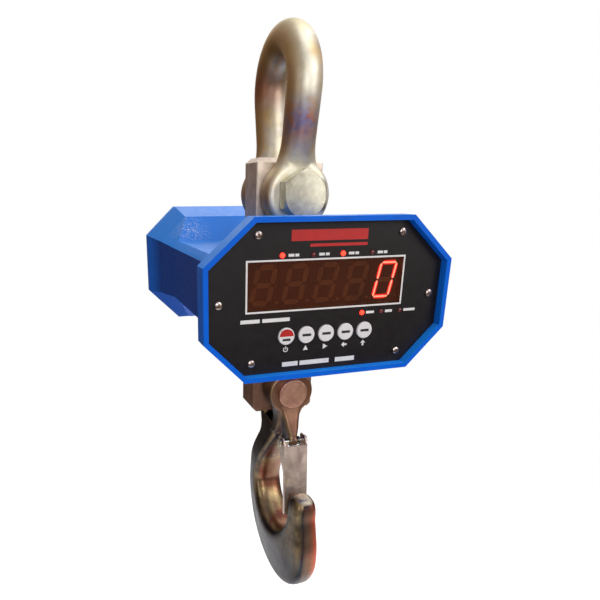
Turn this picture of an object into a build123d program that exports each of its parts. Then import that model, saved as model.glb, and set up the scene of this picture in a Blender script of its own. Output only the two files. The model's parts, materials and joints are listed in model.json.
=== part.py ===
"""Hanging crane scale: shackle, load cell in a cast housing, and a clevis hook with a safety latch.

Millimetres. The origin is the point inside the shackle bow where a crane hook bears.
The load line is the Z axis, +X is to the right of the display and -Y is towards the reader.
"""
from build123d import *
import os
from math import acos, atan2, cos, hypot, pi, radians, sin

os.makedirs("parts", exist_ok=True)

# ---- Driving dimensions ------------------------------------------------------------------
BAR_D = 28.0                # shackle bar
BOW_INSIDE_W = 44.0         # widest part of the bow
BOW_INSIDE_LENGTH = 106.0   # bearing point down to the shackle bolt
PIN_SPACING = 173.0         # shackle bolt down to the hook pin
BOLT_D = 24.0
HOOK_PIN_D = 22.0
PIN_FIT = 0.06              # radial running clearance of a pin in the load cell
EAR_T = 21.0                # shackle eyes and hook ears
EAR_GAP = 0.4               # between an ear and the load cell
SHACKLE_EYE_R = 28.0
BOLT_FLATS = 36.0           # bolt head and nut across flats
BOLT_SEAT_R = 22.0
CELL_SWING_R = 41.0         # clear of the load cell's top corners
HOOK_EAR_R = 21.0

CELL_W = 60.0               # load cell, left to right
CELL_T = 30.0               # load cell, front to back
CELL_ABOVE_BOLT = 30.0
CELL_BELOW_PIN = 24.0

CASE_HALF_W = 100.7         # octagonal rims
CASE_HALF_H = 60.0
FRONT_CORNERS = ((37.0, 33.5), (31.5, 31.8))    # top and foot of the front rim: across, down
REAR_CORNERS = ((30.5, 29.5), (31.5, 31.0))
CASE_FRONT_Y = -104.0
CASE_REAR_Y = 138.0
FRONT_RIM_DEPTH = 16.0
REAR_RIM_DEPTH = 11.0
REAR_STEP = 8.5             # rear rim stands this far out of the box in front of it
REAR_TAPER_DEPTH = 31.0
REAR_BOX_DEPTH = 6.0
FLARE_FRONT = 18.0          # length of the flare from a rim down to the waist
FLARE_REAR = 28.0
WAIST_HALF_W = 87.0
WAIST_HALF_H = 30.0
WAIST_CHAMFER = 6.0
WALL = 4.0
LIP_W = 3.8
FRONT_RECESS = 7.0          # lip down to the face of the panel
REAR_RECESS = 6.0
LEDGE_W = 10.0              # seat for the panel and its gasket
PANEL_T = 2.0
GASKET_T = 1.5
LOOSE = 0.3                 # gap between a moving piece and its neighbours

# ---- Levels worked out from them ---------------------------------------------------------
BOLT_Z = -BOW_INSIDE_LENGTH
HOOK_PIN_Z = BOLT_Z - PIN_SPACING
CELL_TOP_Z = BOLT_Z + CELL_ABOVE_BOLT
CELL_FOOT_Z = HOOK_PIN_Z - CELL_BELOW_PIN
CASE_Z = BOLT_Z - 73.0
EAR_IN_Y = CELL_T / 2 + EAR_GAP
EAR_OUT_Y = EAR_IN_Y + EAR_T
EAR_MID_Y = EAR_IN_Y + EAR_T / 2
SHACKLE_SPLIT_Y = EAR_OUT_Y + 18.0     # split pin behind the nut
PANEL_Y = CASE_FRONT_Y + FRONT_RECESS
PANEL_BACK_Y = PANEL_Y + PANEL_T
FRONT_SEAT_Y = PANEL_BACK_Y + GASKET_T
COVER_Y = CASE_REAR_Y - REAR_RECESS
COVER_BACK_Y = COVER_Y - PANEL_T
REAR_SEAT_Y = COVER_BACK_Y - GASKET_T


def save(name, *solids):
    """Write one node; several solids make one group."""
    shape = solids[0] if len(solids) == 1 else Compound(children=list(solids))
    shape.label = name
    export_step(shape, f"parts/{name}.step")


def rod(radius, start, end):
    """Round bar between two points."""
    axis = Vector(*end) - Vector(*start)
    plane = Plane(origin=start, z_dir=axis)
    return Solid.make_cylinder(radius, axis.length, plane)


def block(x, y, z):
    """Box from three (low, high) pairs."""
    corner = Plane(origin=(x[0], y[0], z[0]))
    return Solid.make_box(x[1] - x[0], y[1] - y[0], z[1] - z[0], corner)


def hexagon_y(flats, y, height, z, bore=0.0):
    """Hexagonal prism with its axis along +Y and a corner pointing up."""
    sketch = Plane(origin=(0, y, z), x_dir=(1, 0, 0), z_dir=(0, 1, 0))
    body = extrude(sketch * RegularPolygon(flats / 2, 6, major_radius=False, rotation=30), height)
    corner_cut = revolve_chamfer(flats, y, height, z)
    body = body & corner_cut
    if bore:
        body -= rod(bore, (0, y - 1, z), (0, y + height + 1, z))
    return body


def revolve_chamfer(flats, y, height, z):
    """Barrel that rounds the corners of a forged hexagon at both faces."""
    flat_r = flats / 2
    corner_r = flat_r / cos(pi / 6) + 0.2
    slope = (corner_r - flat_r * 0.97) * 0.55
    middle = Solid.make_cylinder(corner_r, height - 2 * slope, Plane((0, y + slope, z), z_dir=(0, 1, 0)))
    near = Solid.make_cone(flat_r * 0.97, corner_r, slope, Plane((0, y, z), z_dir=(0, 1, 0)))
    far = Solid.make_cone(corner_r, flat_r * 0.97, slope, Plane((0, y + height - slope, z), z_dir=(0, 1, 0)))
    return middle + near + far


# ---- Octagonal outlines of the housing ---------------------------------------------------
def octagon_points(inset=0.0, corners=FRONT_CORNERS):
    """Rim outline, seen from the front, moved inwards by inset; first point is top left."""
    def corner(chamfer, sign):
        across, down = chamfer
        length = hypot(across, down)
        level = CASE_HALF_H - inset
        side = CASE_HALF_W - inset
        # the sloping edge keeps its direction and moves inwards along its normal
        reach = CASE_HALF_W * down + CASE_HALF_H * across - across * down - inset * length
        return ((reach - level * across) / down, sign * level), (side, sign * (reach - side * down) / across)

    top_a, top_b = corner(corners[0], 1)
    foot_a, foot_b = corner(corners[1], -1)
    right = [top_a, top_b, foot_b, foot_a]
    left = [(-x, z) for x, z in right]
    return right + left[::-1]


def waist_points(inset=0.0):
    """Waist outline: a rectangle with small corner cuts, listed in the same order as the rim."""
    w = WAIST_HALF_W - inset
    h = WAIST_HALF_H - inset
    c = max(WAIST_CHAMFER - inset * 0.6, 1.0)
    right = [(w - c, h), (w, h - c), (w, c - h), (w - c, -h)]
    left = [(-x, z) for x, z in right]
    return right + left[::-1]


def outline_face(points, y):
    return Face(Wire.make_polygon([(x, y, CASE_Z + z) for x, z in points]))


def prism(points, y0, y1):
    return Solid.extrude(outline_face(points, y0), Vector(0, y1 - y0, 0))


def flare(points_a, y_a, points_b, y_b):
    wires = [outline_face(points_a, y_a).outer_wire(), outline_face(points_b, y_b).outer_wire()]
    return Solid.make_loft(wires, ruled=True)


# ---- Where things sit on the front panel (x, z from the middle of the housing) -------------
PANEL_SCREWS = [(-58.5, 47.5), (58.5, 47.5), (88.0, -1.0), (62.5, -47.0), (-62.5, -47.0), (-88.0, -1.0)]
WINDOW_SIZE = (128.0, 36.0)
WINDOW_AT = (-2.0, 10.5)
DIGIT_PITCH = 25.4
DIGIT_SIZE = (24.6, 34.0, 8.0)
DIGIT_COUNT = 5
LAMP_R = 1.9
TOP_LAMPS = [(-39.5 + i * 24.4, 32.6) for i in range(4)]
LOW_LAMPS = [(29.0 + i * 16.9, -13.6) for i in range(3)]
KEY_NAMES = ["key_power", "key_zero", "key_tare", "key_hold", "key_function"]
KEY_R = 6.6
KEY_PITCH = 16.6
KEY_FIRST_X = -34.6
KEY_Z = -27.6
KEY_TRAVEL = 0.8
KEY_PROUD = 1.5             # key face in front of the panel
BOARD_Y = -84.0             # front face of the display board
BOARD_T = 1.6
MAIN_BOARD_Y = -66.0
PLUG_T = 3.0
SWITCH_FACE_Y = BOARD_Y - 4.3


def key_x(index):
    return KEY_FIRST_X + index * KEY_PITCH


# ---- Shackle -----------------------------------------------------------------------------
def shackle_bow():
    """Bent bar whose two legs lean in to flattened round eyes."""
    bow_r = (BOW_INSIDE_W + BAR_D) / 2
    centre_z = BAR_D / 2 - bow_r
    foot_z = BOLT_Z + 0.8 * SHACKLE_EYE_R
    # angle at which a straight leg leaves the bow tangentially
    leg = hypot(EAR_MID_Y, centre_z - foot_z)
    lean = acos(bow_r / leg) - atan2(centre_z - foot_z, EAR_MID_Y)
    touch_y = bow_r * cos(lean)
    touch_z = centre_z + bow_r * sin(lean)
    right_leg = Edge.make_line((0, EAR_MID_Y, foot_z), (0, touch_y, touch_z))
    crown = Edge.make_three_point_arc(
        (0, touch_y, touch_z), (0, 0, centre_z + bow_r), (0, -touch_y, touch_z))
    left_leg = Edge.make_line((0, -touch_y, touch_z), (0, -EAR_MID_Y, foot_z))
    path = Wire([right_leg, crown, left_leg])
    start = Plane(origin=(0, EAR_MID_Y, foot_z), z_dir=(0, touch_y - EAR_MID_Y, touch_z - foot_z))
    bow = sweep(start * Circle(BAR_D / 2), path=path)
    for side in (-1, 1):
        bow += shackle_eye(side, foot_z)
        # flat seat under the bolt head and the nut
        bow -= rod(BOLT_SEAT_R, (0, side * EAR_OUT_Y, BOLT_Z), (0, side * (EAR_OUT_Y + EAR_T), BOLT_Z))
    # room for the top corners of the load cell as it swings
    bow -= rod(CELL_SWING_R, (0, -EAR_IN_Y, BOLT_Z), (0, EAR_IN_Y, BOLT_Z))
    bow -= rod(BOLT_D / 2 + 0.1, (0, -60, BOLT_Z), (0, 60, BOLT_Z))
    return bow


def shackle_eye(side, foot_z):
    """Round eye with shoulders that grow out of the leg."""
    inner = side * EAR_IN_Y
    outer = side * EAR_OUT_Y
    eye = rod(SHACKLE_EYE_R, (0, inner, BOLT_Z), (0, outer, BOLT_Z))
    eye = chamfer(eye.edges().filter_by(GeomType.CIRCLE), 1.6)
    top_z = foot_z + 24.0
    section_low = Plane((0, side * EAR_MID_Y, BOLT_Z + 12.0)) * Ellipse(24.5, EAR_T / 2 - 0.2)
    section_mid = Plane((0, side * (EAR_MID_Y + 0.8), foot_z + 6.0)) * Ellipse(17.0, 12.2)
    section_top = Plane((0, side * (EAR_MID_Y + 3.6), top_z)) * Circle(BAR_D / 2 - 0.4)
    neck = loft([section_low, section_mid, section_top])
    return eye + neck


def shackle_bolt():
    head_t = 12.0
    head = hexagon_y(BOLT_FLATS, -EAR_OUT_Y - head_t, head_t, BOLT_Z)
    shank = rod(BOLT_D / 2, (0, -EAR_OUT_Y - 1, BOLT_Z), (0, EAR_OUT_Y + 22.0, BOLT_Z))
    split_hole = rod(2.3, (-30, SHACKLE_SPLIT_Y, BOLT_Z), (30, SHACKLE_SPLIT_Y, BOLT_Z))
    return head + shank - split_hole


def split_pin(y, z, reach, wire_r):
    """Split pin through a bolt end, eye on the left and legs opened on the right."""
    shank = rod(wire_r, (-reach, y, z), (reach, y, z))
    eye_plane = Plane((-reach - 2.6 * wire_r, y, z), z_dir=(0, 1, 0))
    eye = Solid.make_torus(1.8 * wire_r, 0.8 * wire_r, eye_plane)
    upper = rod(wire_r * 0.7, (reach - 1, y, z + 0.2), (reach + 3, y, z + 5))
    lower = rod(wire_r * 0.7, (reach - 1, y, z - 0.2), (reach + 3, y, z - 5))
    return shank + eye + upper + lower


def build_shackle():
    nut_t = 14.0
    save("shackle_bow", shackle_bow())
    save("shackle_bolt", shackle_bolt())
    save("shackle_nut", hexagon_y(BOLT_FLATS, EAR_OUT_Y, nut_t, BOLT_Z, bore=BOLT_D / 2))
    save("shackle_split_pin", split_pin(SHACKLE_SPLIT_Y, BOLT_Z, 14.0, 2.2))


# ---- Load cell and what is fixed to it -----------------------------------------------------
GAUGE_R = 17.0
GAUGE_DEPTH = 9.0
BRACKET_T = 3.0
BRACKET_HALF_Y = 12.0
BRACKET_FLOOR_Z = CASE_Z - 23.0


def load_cell():
    """Straight steel block with a bore at each end and a gauge pocket in each broad face."""
    cell = block((-CELL_W / 2, CELL_W / 2), (-CELL_T / 2, CELL_T / 2), (CELL_FOOT_Z, CELL_TOP_Z))
    cell = chamfer(cell.edges().group_by(Axis.Z)[-1], 4.0)
    foot_corners = [e for e in cell.edges().filter_by(Axis.Y) if e.center().Z < CELL_FOOT_Z + 0.1]
    cell = chamfer(foot_corners, 3.5)
    cell = chamfer(cell.edges().filter_by(Axis.Z), 0.8)
    cell -= rod(BOLT_D / 2 + PIN_FIT, (0, -20, BOLT_Z), (0, 20, BOLT_Z))
    cell -= rod(HOOK_PIN_D / 2 + PIN_FIT, (0, -20, HOOK_PIN_Z), (0, 20, HOOK_PIN_Z))
    for side in (-1, 1):
        cell -= rod(GAUGE_R, (0, side * CELL_T / 2, CASE_Z), (0, side * (CELL_T / 2 - GAUGE_DEPTH), CASE_Z))
    return cell


def gauge_covers():
    covers = []
    for side in (-1, 1):
        face = side * CELL_T / 2
        covers.append(rod(GAUGE_R - 0.05, (0, face, CASE_Z), (0, face - side * 2.0, CASE_Z)))
    return covers


def cell_bracket(side):
    """Steel angle: one leg on the side of the load cell, one on the pads in the housing floor."""
    wall_x = side * CELL_W / 2
    x_wall = sorted((wall_x, wall_x + side * BRACKET_T))
    x_floor = sorted((wall_x, wall_x + side * 30.0))
    y_span = (-BRACKET_HALF_Y, BRACKET_HALF_Y)
    upright = block(x_wall, y_span, (BRACKET_FLOOR_Z, CASE_Z + 18.0))
    foot = block(x_floor, y_span, (BRACKET_FLOOR_Z, BRACKET_FLOOR_Z + BRACKET_T))
    return upright + foot


def cap_screw(at, along, head_r, head_t, shank_r, shank_l):
    """Socket-head screw; at is under the head and along points down the shank."""
    axis = Vector(*along)
    start = Vector(*at)
    head = rod(head_r, tuple(start - axis * head_t), tuple(start))
    socket = rod(head_r * 0.5, tuple(start - axis * (head_t + 1)), tuple(start - axis * (head_t * 0.4)))
    shank = rod(shank_r, tuple(start), tuple(start + axis * shank_l))
    return head + shank - socket


def bracket_screws():
    screws = []
    for side in (-1, 1):
        for level in (CASE_Z - 8.0, CASE_Z + 10.0):
            at = (side * (CELL_W / 2 + BRACKET_T), 0, level)
            screws.append(cap_screw(at, (-side, 0, 0), 5.0, 6.0, 3.0, 12.0))
        for y in (-7.0, 7.0):
            at = (side * (CELL_W / 2 + 20.0), y, BRACKET_FLOOR_Z + BRACKET_T)
            screws.append(cap_screw(at, (0, 0, -1), 5.0, 6.0, 3.0, 6.0))
    return screws


def cell_seal(z_low, z_high):
    """Rubber collar between the load cell and the hole in the housing."""
    lip = 3.0
    outer = block((-CELL_W / 2 - 5, CELL_W / 2 + 5), (-CELL_T / 2 - 5, CELL_T / 2 + 5), (z_low, z_high))
    outer = fillet(outer.edges().filter_by(Axis.Z), lip)
    hole = block((-CELL_W / 2, CELL_W / 2), (-CELL_T / 2, CELL_T / 2), (z_low - 1, z_high + 1))
    return outer - hole


def cell_cable():
    """Shielded cable from the front gauge pocket to the plug on the main board."""
    path = Spline(
        [(8, -CELL_T / 2 - 0.1, CASE_Z - 8), (20, -38, CASE_Z - 4),
         (26, MAIN_BOARD_Y + BOARD_T + PLUG_T + 0.1, CASE_Z)],
        tangents=[(0, -1, 0), (0, -1, 0)])
    start = Plane(origin=path @ 0, z_dir=path % 0)
    return sweep(start * Circle(2.4), path=path)


def build_load_cell():
    save("load_cell", drilled(load_cell(), bracket_screws()))
    save("gauge_covers", *gauge_covers())
    save("cell_brackets", *[drilled(cell_bracket(side), bracket_screws()) for side in (-1, 1)])
    save("bracket_screws", *bracket_screws())
    top = CASE_Z + WAIST_HALF_H
    save("top_cell_seal", cell_seal(top - WALL - 2, top + 3))
    foot = CASE_Z - WAIST_HALF_H
    save("lower_cell_seal", cell_seal(foot - 3, foot + WALL + 2))
    save("cell_cable", cell_cable())


def drilled(solid, tools):
    for tool in tools:
        solid -= tool
    return solid


# ---- Housing -----------------------------------------------------------------------------
def housing_body():
    """Cast shell: octagonal front and rear rims on a narrow waist, open at both ends."""
    front_rim_y = CASE_FRONT_Y + FRONT_RIM_DEPTH
    rear_rim_y = CASE_REAR_Y - REAR_RIM_DEPTH
    waist_front = front_rim_y + FLARE_FRONT
    rear_taper_y = rear_rim_y - REAR_TAPER_DEPTH
    rear_box_y = rear_taper_y - REAR_BOX_DEPTH
    waist_rear = rear_box_y - FLARE_REAR
    rim = octagon_points()
    rear_rim = octagon_points(0.0, REAR_CORNERS)
    rear_box = octagon_points(REAR_STEP, REAR_CORNERS)
    waist = waist_points()
    shell = prism(rim, CASE_FRONT_Y, front_rim_y)
    shell += flare(rim, front_rim_y, waist, waist_front)
    shell += prism(waist, waist_front, waist_rear)
    shell += flare(waist, waist_rear, rear_box, rear_box_y)
    shell += prism(rear_box, rear_box_y, rear_taper_y)
    shell += flare(rear_box, rear_taper_y, rear_rim, rear_rim_y)
    shell += prism(rear_rim, rear_rim_y, CASE_REAR_Y)

    rim_cavity = octagon_points(LIP_W + LEDGE_W)
    waist_cavity = waist_points(WALL)
    hollow = prism(octagon_points(LIP_W), CASE_FRONT_Y - 1, FRONT_SEAT_Y)
    hollow += prism(rim_cavity, FRONT_SEAT_Y - 1, front_rim_y)
    hollow += flare(rim_cavity, front_rim_y, waist_cavity, waist_front + 1)
    hollow += prism(waist_cavity, waist_front, waist_rear)
    rear_cavity = octagon_points(LIP_W + LEDGE_W, REAR_CORNERS)
    hollow += flare(waist_cavity, waist_rear - 1, rear_cavity, rear_box_y)
    hollow += prism(rear_cavity, rear_box_y, REAR_SEAT_Y + 1)
    hollow += prism(octagon_points(LIP_W, REAR_CORNERS), REAR_SEAT_Y, CASE_REAR_Y + 1)
    shell -= hollow

    collar_x = (-CELL_W / 2 - 5, CELL_W / 2 + 5)
    collar_y = (-CELL_T / 2 - 5, CELL_T / 2 + 5)
    shell -= block(collar_x, collar_y, (CASE_Z - 70, CASE_Z + 70))
    for side in (-1, 1):
        pad_x = sorted((side * (CELL_W / 2 + 10), side * (CELL_W / 2 + 28)))
        shell += block(pad_x, (-12, 12), (CASE_Z - WAIST_HALF_H + WALL - 0.5, BRACKET_FLOOR_Z))
    return shell


def screws_at(places, y, direction):
    """Pan-head screws in a rim; direction is +1 for the front panel and -1 for the rear cover."""
    return [cap_screw((x, y, CASE_Z + z), (0, direction, 0), 2.9, 1.9, 1.5, 9.0) for x, z in places]


def plate(y0, y1, inset, corners=FRONT_CORNERS):
    return prism(octagon_points(inset, corners), y0, y1)


def front_panel():
    panel = plate(PANEL_Y, PANEL_BACK_Y, LIP_W + 0.15)
    x, z = WINDOW_AT
    w, h = WINDOW_SIZE
    panel -= block((x - w / 2, x + w / 2), (PANEL_Y - 1, PANEL_BACK_Y + 1),
                   (CASE_Z + z - h / 2, CASE_Z + z + h / 2))
    for lamp_x, lamp_z in TOP_LAMPS + LOW_LAMPS:
        panel -= rod(LAMP_R + 0.1, (lamp_x, PANEL_Y - 1, CASE_Z + lamp_z),
                     (lamp_x, PANEL_BACK_Y + 1, CASE_Z + lamp_z))
    for index in range(len(KEY_NAMES)):
        panel -= rod(KEY_R + LOOSE, (key_x(index), PANEL_Y - 1, CASE_Z + KEY_Z),
                     (key_x(index), PANEL_BACK_Y + 1, CASE_Z + KEY_Z))
    return panel


def gasket(y0, y1, corners):
    return plate(y0, y1, LIP_W + 0.4, corners) - plate(y0 - 1, y1 + 1, LIP_W + LEDGE_W, corners)


def display_window():
    x, z = WINDOW_AT
    w, h = WINDOW_SIZE
    face = block((x - w / 2 + 0.1, x + w / 2 - 0.1), (PANEL_Y + 0.3, PANEL_BACK_Y),
                 (CASE_Z + z - h / 2 + 0.1, CASE_Z + z + h / 2 - 0.1))
    flange = block((x - w / 2 - 4, x + w / 2 + 4), (PANEL_BACK_Y, PANEL_BACK_Y + 1.5),
                   (CASE_Z + z - h / 2 - 2.2, CASE_Z + z + h / 2 + 2.2))
    for lamp_x, lamp_z in TOP_LAMPS + LOW_LAMPS:
        flange -= rod(LAMP_R + 0.3, (lamp_x, -110, CASE_Z + lamp_z), (lamp_x, -80, CASE_Z + lamp_z))
    return face + flange


def digit_modules():
    w, h, depth = DIGIT_SIZE
    x0, z0 = WINDOW_AT
    digits = []
    for index in range(DIGIT_COUNT):
        x = x0 + (index - (DIGIT_COUNT - 1) / 2) * DIGIT_PITCH
        body = block((x - w / 2, x + w / 2), (BOARD_Y - depth, BOARD_Y),
                     (CASE_Z + z0 - h / 2, CASE_Z + z0 + h / 2))
        digits.append(chamfer(body.edges().filter_by(Axis.Y), 0.6))
    return digits


def lamp(x, z):
    """Small lamp on a long body that ends in a dome just below the panel face."""
    body = rod(LAMP_R, (x, PANEL_Y + LAMP_R, CASE_Z + z), (x, BOARD_Y, CASE_Z + z))
    dome = Solid.make_sphere(LAMP_R, Plane((x, PANEL_Y + LAMP_R, CASE_Z + z)))
    return body + dome


def key(index):
    """Round push button with a retaining flange and a stem that reaches its switch."""
    x = key_x(index)
    z = CASE_Z + KEY_Z
    cap = rod(KEY_R, (x, PANEL_Y - KEY_PROUD, z), (x, PANEL_BACK_Y + LOOSE, z))
    cap = fillet(cap.edges().group_by(Axis.Y)[0], 0.7)
    flange = rod(KEY_R + 1.3, (x, PANEL_BACK_Y + LOOSE, z), (x, PANEL_BACK_Y + LOOSE + 1.2, z))
    stem = rod(2.2, (x, PANEL_BACK_Y + LOOSE + 1.0, z), (x, SWITCH_FACE_Y - KEY_TRAVEL - LOOSE, z))
    return cap + flange + stem


def key_switch(index):
    x = key_x(index)
    z = CASE_Z + KEY_Z
    case = block((x - 3, x + 3), (BOARD_Y - 3.5, BOARD_Y), (z - 3, z + 3))
    return case + rod(1.7, (x, SWITCH_FACE_Y, z), (x, BOARD_Y - 3, z))


STANDOFF_PLACES = [(-54.0, 34.2), (52.0, 34.2), (-54.0, -34.0), (52.0, -34.0)]


def standoffs(y0, y1, radius):
    return [rod(radius, (x, y0, CASE_Z + z), (x, y1, CASE_Z + z)) for x, z in STANDOFF_PLACES]


def display_board():
    board = block((-65, 61), (BOARD_Y, BOARD_Y + BOARD_T), (CASE_Z - 37, CASE_Z + 37))
    return chamfer(board.edges().filter_by(Axis.Y), 5.0)


def main_board():
    return block((-58, 58), (MAIN_BOARD_Y, MAIN_BOARD_Y + BOARD_T), (CASE_Z - 24, CASE_Z + 24))


def main_board_parts():
    """Converter chip, relay, capacitors and the plug for the load-cell cable."""
    back = MAIN_BOARD_Y + BOARD_T
    chip = block((-28, -10), (back, back + 3), (CASE_Z - 8, CASE_Z + 10))
    relay = block((-52, -34), (back, back + 12), (CASE_Z - 14, CASE_Z + 2))
    plug = block((20, 32), (back, back + PLUG_T), (CASE_Z - 6, CASE_Z + 6))
    caps = [rod(4.0, (x, back, CASE_Z + 16), (x, back + 14, CASE_Z + 16)) for x in (-44.0, -34.0)]
    return [chip, relay, plug] + caps


def board_spacers():
    """Columns between the display board and the main board."""
    places = [(-52.0, -18.0), (52.0, -18.0), (-52.0, 20.0), (52.0, 20.0)]
    return [rod(2.5, (x, BOARD_Y + BOARD_T, CASE_Z + z), (x, MAIN_BOARD_Y, CASE_Z + z)) for x, z in places]


def build_front():
    panel_screws = screws_at(PANEL_SCREWS, PANEL_Y, 1)
    save("front_panel", drilled(front_panel(), panel_screws))
    save("front_gasket", drilled(gasket(PANEL_BACK_Y, FRONT_SEAT_Y, FRONT_CORNERS), panel_screws))
    save("front_panel_screws", *panel_screws)
    save("display_window", display_window())
    save("digit_modules", *digit_modules())
    save("indicator_lamps", *[lamp(x, z) for x, z in TOP_LAMPS + LOW_LAMPS])
    for index, name in enumerate(KEY_NAMES):
        save(name, key(index))
    save("key_switches", *[key_switch(index) for index in range(len(KEY_NAMES))])
    save("display_board", display_board())
    save("display_standoffs", *standoffs(PANEL_BACK_Y, BOARD_Y, 2.5))
    save("main_board", main_board())
    save("main_board_parts", *main_board_parts())
    save("board_spacers", *board_spacers())


# ---- Rear: cover, battery and charging socket ----------------------------------------------
BATTERY = (101.0, 38.0, 70.0)
BATTERY_GAP = 1.0
SOCKET_AT = (-62.0, -30.0)
SOCKET_R = 6.0


def battery_box():
    w, depth, h = BATTERY
    y1 = COVER_BACK_Y - 4.0
    return (-w / 2, w / 2), (y1 - depth, y1), (CASE_Z - h / 2, CASE_Z + h / 2)


def battery_pack():
    x, y, z = battery_box()
    pack = fillet(block(x, y, z).edges(), 1.5)
    for terminal_x in (-36.0, 36.0):
        pack += block((terminal_x - 3, terminal_x + 3), (y[0] + 18, y[0] + 19), (z[1] - 1, z[1] + 6))
    return pack


def battery_tray():
    """Sheet tray on the inside of the rear cover, open at the top."""
    x, y, z = battery_box()
    t = 1.5
    gap = BATTERY_GAP
    outer = block((x[0] - gap - t, x[1] + gap + t), (y[0] - gap - t, COVER_BACK_Y), (z[0] - t, z[0] + 30))
    inner = block((x[0] - gap, x[1] + gap), (y[0] - gap, COVER_BACK_Y - t), (z[0], z[0] + 31))
    return outer - inner


def battery_strap():
    """Webbing over the top of the battery, fixed to the tray at the front."""
    x, y, z = battery_box()
    over = block((-10, 10), (y[0] - 1.0, COVER_BACK_Y), (z[1], z[1] + 1.2))
    down = block((-10, 10), (y[0] - 1.0, y[0]), (z[0] + 31, z[1]))
    return over + down


def charge_socket():
    x, z = SOCKET_AT
    z += CASE_Z
    barrel = rod(SOCKET_R, (x, COVER_BACK_Y - 14, z), (x, COVER_Y, z))
    flange = rod(SOCKET_R + 2.5, (x, COVER_Y, z), (x, COVER_Y + 1.5, z))
    bore = rod(3.0, (x, COVER_Y - 10, z), (x, COVER_Y + 3, z))
    contact = rod(1.0, (x, COVER_Y - 11, z), (x, COVER_Y, z))
    return barrel + flange - bore + contact


def charge_cap():
    """Rubber plug pushed into the charging socket."""
    x, z = SOCKET_AT
    z += CASE_Z
    disc = rod(SOCKET_R + 2.0, (x, COVER_Y + 1.5, z), (x, COVER_Y + 3.5, z))
    stem = rod(2.9, (x, COVER_Y + 0.3, z), (x, COVER_Y + 2, z))
    return disc + stem


def build_rear():
    cover_screws = screws_at(PANEL_SCREWS, COVER_Y, -1)
    x, z = SOCKET_AT
    z += CASE_Z
    cover = drilled(plate(COVER_BACK_Y, COVER_Y, LIP_W + 0.15, REAR_CORNERS), cover_screws)
    cover -= rod(SOCKET_R, (x, COVER_BACK_Y - 1, z), (x, COVER_Y + 1, z))
    save("rear_cover", cover)
    save("rear_gasket", drilled(gasket(REAR_SEAT_Y, COVER_BACK_Y, REAR_CORNERS), cover_screws))
    save("rear_cover_screws", *cover_screws)
    save("battery_pack", battery_pack())
    save("battery_tray", battery_tray())
    save("battery_strap", battery_strap())
    save("charge_socket", charge_socket())
    save("charge_cap", charge_cap())


def build_housing():
    screws = screws_at(PANEL_SCREWS, PANEL_Y, 1) + screws_at(PANEL_SCREWS, COVER_Y, -1)
    body = housing_body()
    for x, z in PANEL_SCREWS:
        body += rod(5.0, (x, FRONT_SEAT_Y, CASE_Z + z), (x, FRONT_SEAT_Y + 8, CASE_Z + z))
        body += rod(5.0, (x, REAR_SEAT_Y - 8, CASE_Z + z), (x, REAR_SEAT_Y, CASE_Z + z))
    save("housing_body", drilled(body, screws + bracket_screws()))


# ---- Hook ----------------------------------------------------------------------------------
SEAT_Y = -23.0              # middle of the round seat that carries the load
SEAT_Z = HOOK_PIN_Z - 111.0
SEAT_R = 36.0
SADDLE_Z = HOOK_PIN_Z - 38.5    # top of the yoke, below the swinging foot of the load cell
RIB_HALF_W = 3.8            # rib under the front ear that carries the latch
LATCH_PIVOT_Y = -42.0
LATCH_PIVOT_Z = HOOK_PIN_Z - 46.0
LATCH_RIVET_R = 2.5

# the forging round the seat: degrees past horizontal, half width, half depth
SEAT_STATIONS = [
    (0, 17.0, 17.8), (30, 17.5, 21.0), (60, 18.5, 23.6), (90, 19.0, 26.4),
    (120, 18.8, 27.0), (150, 15.8, 19.2), (180, 12.6, 11.8),
]
# the back of the hook, from the yoke down: y, distance below the pin, lean, half width, half depth
BACK_STATIONS = [
    (-2.0, 47.0, 40.0, 12.0, 17.0), (8.0, 64.0, 34.0, 14.0, 17.5), (21.0, 86.0, 22.0, 16.0, 18.2),
]
# the tip above the seat: y, distance below the pin, half width, half depth
TIP_STATIONS = [(-70.5, 101.0, 10.0, 9.6), (-70.6, 96.5, 8.6, 8.2)]
TIP_DOME_R = 9.4


def hook_section(y, z, lean, half_w, half_d):
    """Section across the forging, widest near the inside; lean is 0 where it runs straight down."""
    run = (0, sin(radians(lean)), -cos(radians(lean)))
    plane = Plane(origin=(0, y, z), x_dir=(1, 0, 0), z_dir=run)
    side = [(0.62, 0.96), (1.0, 0.42), (0.84, -0.34), (0.5, -0.9)]
    right = [(across * half_w, inwards * half_d) for across, inwards in side]
    left = [(-x, y_) for x, y_ in reversed(right)]
    outline = Spline(right + left, periodic=True)
    return plane * make_face(outline)


def hook_sections():
    """Sections from the yoke, round the seat, up to the tip."""
    sections = []
    for y, below, lean, half_w, half_d in BACK_STATIONS:
        sections.append(hook_section(y, HOOK_PIN_Z - below, lean, half_w, half_d))
    for turn, half_w, half_d in SEAT_STATIONS:
        reach = SEAT_R + half_d
        y = SEAT_Y + reach * cos(radians(turn))
        z = SEAT_Z - reach * sin(radians(turn))
        sections.append(hook_section(y, z, -turn, half_w, half_d))
    for y, below, half_w, half_d in TIP_STATIONS:
        sections.append(hook_section(y, HOOK_PIN_Z - below, -180.0, half_w, half_d))
    return sections


def extrude_x(points, half_w):
    """Slab with the given outline in (y, distance below the hook pin), centred on x = 0."""
    wire = Wire.make_polygon([(-half_w, y, HOOK_PIN_Z - below) for y, below in points])
    return Solid.extrude(Face(wire), Vector(2 * half_w, 0, 0))


def forged_arm(widths, y0, y1):
    """Slab across the load line whose half width changes with the distance below the pin."""
    right = [(half_w, y0, HOOK_PIN_Z - below) for below, half_w in widths]
    left = [(-x, y, z) for x, y, z in reversed(right)]
    return Solid.extrude(Face(Wire.make_polygon(right + left)), Vector(0, y1 - y0, 0))


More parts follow.
